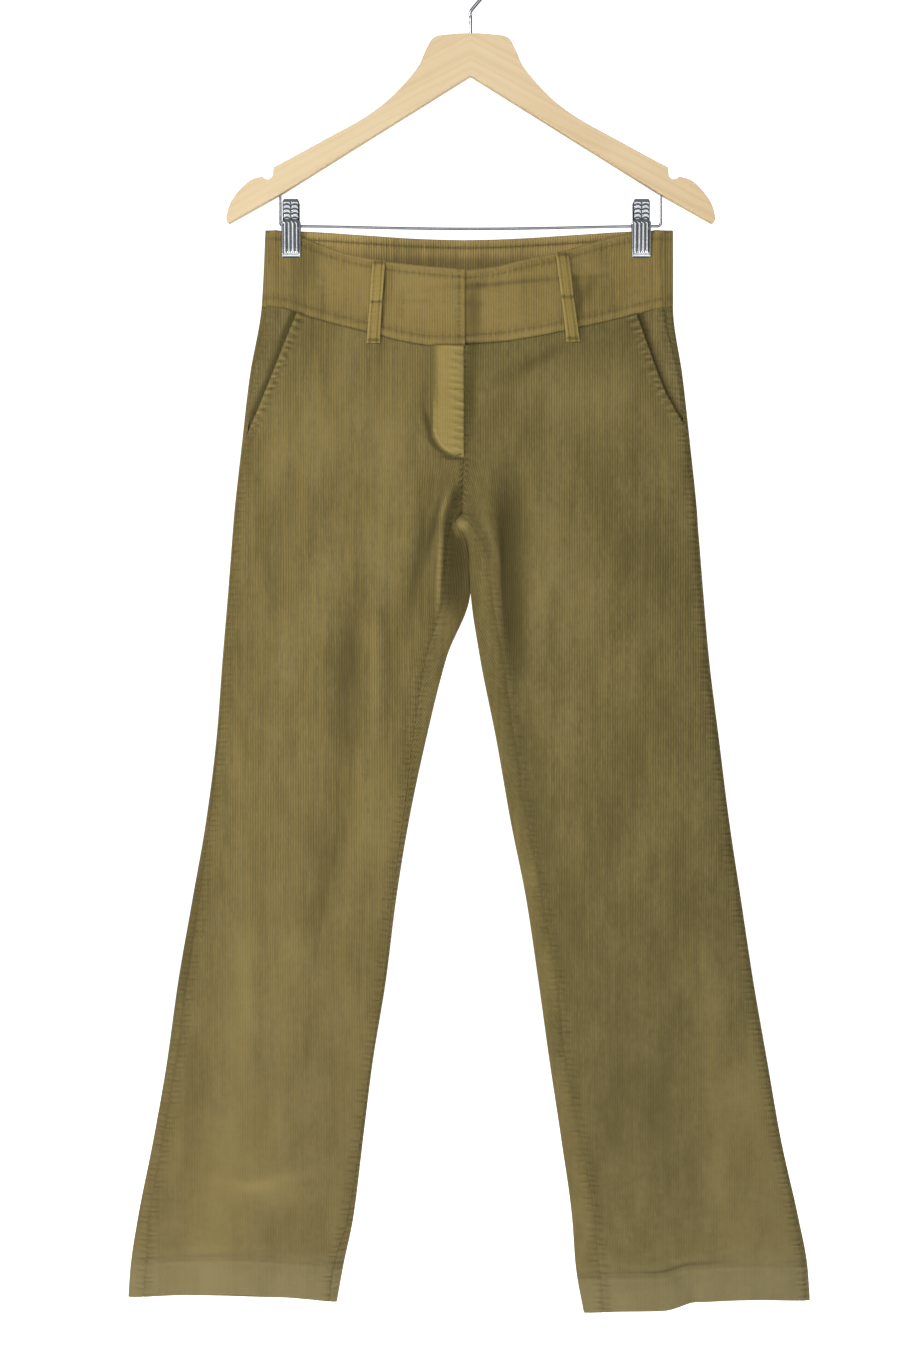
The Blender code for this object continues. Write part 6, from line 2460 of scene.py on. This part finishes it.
@dataclass
class Studio:
    """The paper surroundings, the lights and the camera."""

    camera_at: tuple[float, float, float] = (-0.017, -3.0, -0.659)
    lens: float = 87.4
    floor_z: float = -1.42
    middle_z: float = -0.6
    radius: float = 6.5

    def surroundings(self) -> bpy.types.Object:
        """The floor and a round white wall in one seamless sheet, the same from every side.

        Returns:
            The stage's object.
        """
        rise = np.radians(np.linspace(-90.0, 90.0, 61))[:, None]
        turn = np.linspace(0, 2 * math.pi, 65)[None, :]
        x, y = self.radius * np.cos(rise) * np.cos(turn), self.radius * np.cos(rise) * np.sin(turn)
        z = np.maximum(self.middle_z + self.radius * np.sin(rise), self.floor_z) + 0 * turn
        points = np.stack([x, y, z], axis=-1) / MM
        piece = grid_piece("surroundings", points, {}, Backdrop("white_paper").material())
        piece.visible_diffuse = piece.visible_glossy = piece.visible_shadow = False
        return piece

    def lamp(
        self, name: str, place: Sequence[float], aim: Sequence[float], size: float, power: float,
        tint: Colour = (1.0, 1.0, 1.0),
    ) -> None:
        """Add a soft square light.

        Args:
            name: its name.
            place: where it stands.
            aim: the point it looks at.
            size: its side, in metres.
            power: its power in watts.
            tint: its colour.
        """
        light = bpy.data.lights.new(name, "AREA")
        light.size = size
        light.energy = power
        light.color = tint
        lamp = bpy.data.objects.new(name, light)
        lamp.location = place
        lamp.visible_camera = False
        lamp.rotation_euler = (Vector(aim) - Vector(place)).to_track_quat("-Z", "Y").to_euler()
        bpy.context.scene.collection.objects.link(lamp)

    def lights(self) -> None:
        """The dim world and the soft lights: two in front, two behind, and the floor's own glow."""
        world = bpy.data.worlds.new("surroundings")
        world.use_nodes = True
        fill = world.node_tree.nodes["Background"]
        fill.inputs["Color"].default_value = (1.0, 1.0, 1.0, 1.0)
        fill.inputs["Strength"].default_value = 0.15
        bpy.context.scene.world = world
        middle = (-0.02, 0.0, -0.62)
        self.lamp("key", (-1.8, -2.0, 0.7), middle, 0.9, 49.0, (1.0, 0.985, 0.96))
        self.lamp("front_panel", (0.5, -4.6, 0.35), (-0.02, 0.0, -0.55), 3.4, 66.0)
        self.lamp("behind_right", (-2.2, 2.4, 0.0), middle, 1.6, 36.0)
        self.lamp("behind_left", (2.2, 2.4, 0.0), middle, 1.6, 36.0)
        self.lamp("off_the_floor", (0.0, -0.0001, self.floor_z + 0.02), (0.0, 0.0, 0.0), 3.6, 62.0)

    def camera(self) -> None:
        """The camera at the photograph's angle."""
        data = bpy.data.cameras.new("view")
        data.lens = self.lens
        data.sensor_width = 36.0
        data.sensor_fit = "AUTO"
        eye = bpy.data.objects.new("view", data)
        eye.location = self.camera_at
        eye.rotation_euler = (math.radians(90), 0.0, 0.0)
        bpy.context.scene.collection.objects.link(eye)
        bpy.context.scene.camera = eye

    def build(self) -> None:
        """Set up the studio, with plain display colours as in the photograph."""
        bpy.context.scene.view_settings.view_transform = "Standard"
        self.surroundings()
        self.lights()
        self.camera()


LEG_RIPPLES = {"inner_ripple": Ripple(0.0056, 0.011, 2.4), "outer_ripple": Ripple(0.0054, 0.012, 2.4)}
BAND_RIPPLES = {
    "inner_ripple": Ripple(0.0050, 0.005, 1.2),
    "top_ripple": Ripple(0.0052, 0.005, 1.5),
    "foot_ripple": Ripple(0.0060, 0.006, 1.2),
}


def main() -> None:
    """Build every piece in order."""
    logging.basicConfig(level=logging.INFO, format="%(message)s")
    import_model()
    front_flat, back_flat = (0.235, 0.905), (0.270, 0.935)
    legs = {"faded_foot": 0.34, **LEG_RIPPLES}
    # paler and darker are painted light and shade: the wearer's right leg is coloured as lit, the left one as shaded.
    paler, darker = (0.95, 0.95, 0.90), (0.87, 0.875, 0.80)
    right_front = Corduroy("cord_front_right", wear=0.45, golden=0.26, seed=0.3, tint=paler, **legs)
    left_front = Corduroy("cord_front_left", wear=0.40, golden=0.14, seed=1.7, tint=darker, **legs)
    right_back = Corduroy("cord_back_right", wear=0.42, golden=0.22, seed=2.9, tint=paler, **legs)
    left_back = Corduroy("cord_back_left", wear=0.42, golden=0.20, seed=4.1, tint=darker, **legs)
    LegPanel(Half.RIGHT, Face.FRONT, right_front, front_flat, 0.170).build()
    LegPanel(Half.LEFT, Face.FRONT, left_front, front_flat, 0.170).build()
    LegPanel(Half.RIGHT, Face.BACK, right_back, back_flat, 0.210, rows=430, columns=90).build()
    LegPanel(Half.LEFT, Face.BACK, left_back, back_flat, 0.220, rows=430, columns=90).build()
    for half in Half:
        facing = Corduroy(f"cord_facing_{half.word}", wear=0.35, golden=0.1, seed=5.5 + half.value, **LEG_RIPPLES)
        PocketFacing(half, facing).build()
    lighter = (1.05, 1.03, 1.03)
    band = Corduroy(
        "cord_band_front", wear=0.48, golden=0.46, mottle=1.7, crinkled=0.8, seed=7.0, tint=lighter, **BAND_RIPPLES
    )
    # The back band's inner faces are coloured much lighter: painted light.
    band_back = Corduroy(
        "cord_band_back", wear=0.24, golden=0.42, mottle=1.4, crinkled=0.5, seed=8.2,
        inside_tint=(1.85, 1.80, 1.95), **BAND_RIPPLES,
    )
    Waistband(band, band_back).build()
    fly = Corduroy(
        "cord_fly", wear=0.75, golden=0.62, mottle=1.6, crinkled=1.0, seed=9.1, tint=(1.22, 1.25, 1.27),
        inner_ripple=Ripple(0.0066, 0.018, 2.4), outer_ripple=Ripple(0.0060, 0.005, 0.8),
    )
    Fly(fly, Tape("zip_tape_woven")).build()
    loop_finish = Corduroy("cord_loops", wear=0.7, golden=0.66, seed=10.4, tint=(1.15, 1.15, 1.1))
    loops = tuple(BeltLoop(line, loop_finish) for line in LOOPS)
    for loop in loops:
        loop.build()
    Stitching(Thread("cord_thread"), loops).build()
    chrome = Chrome("bright_wire")
    plate = Chrome("pressed_plate", colour=(0.66, 0.68, 0.70), dull=(0.50, 0.52, 0.55), pressed=True)
    hanger = Hanger(Maple("pale_maple"), chrome)
    hanger.build()
    for half in Half:
        Clip(half, chrome, plate, hanger.bar_drop(CLIP_X[half])).build()
    Studio().build()
    bpy.context.view_layer.update()


if __name__ == "__main__":
    main()
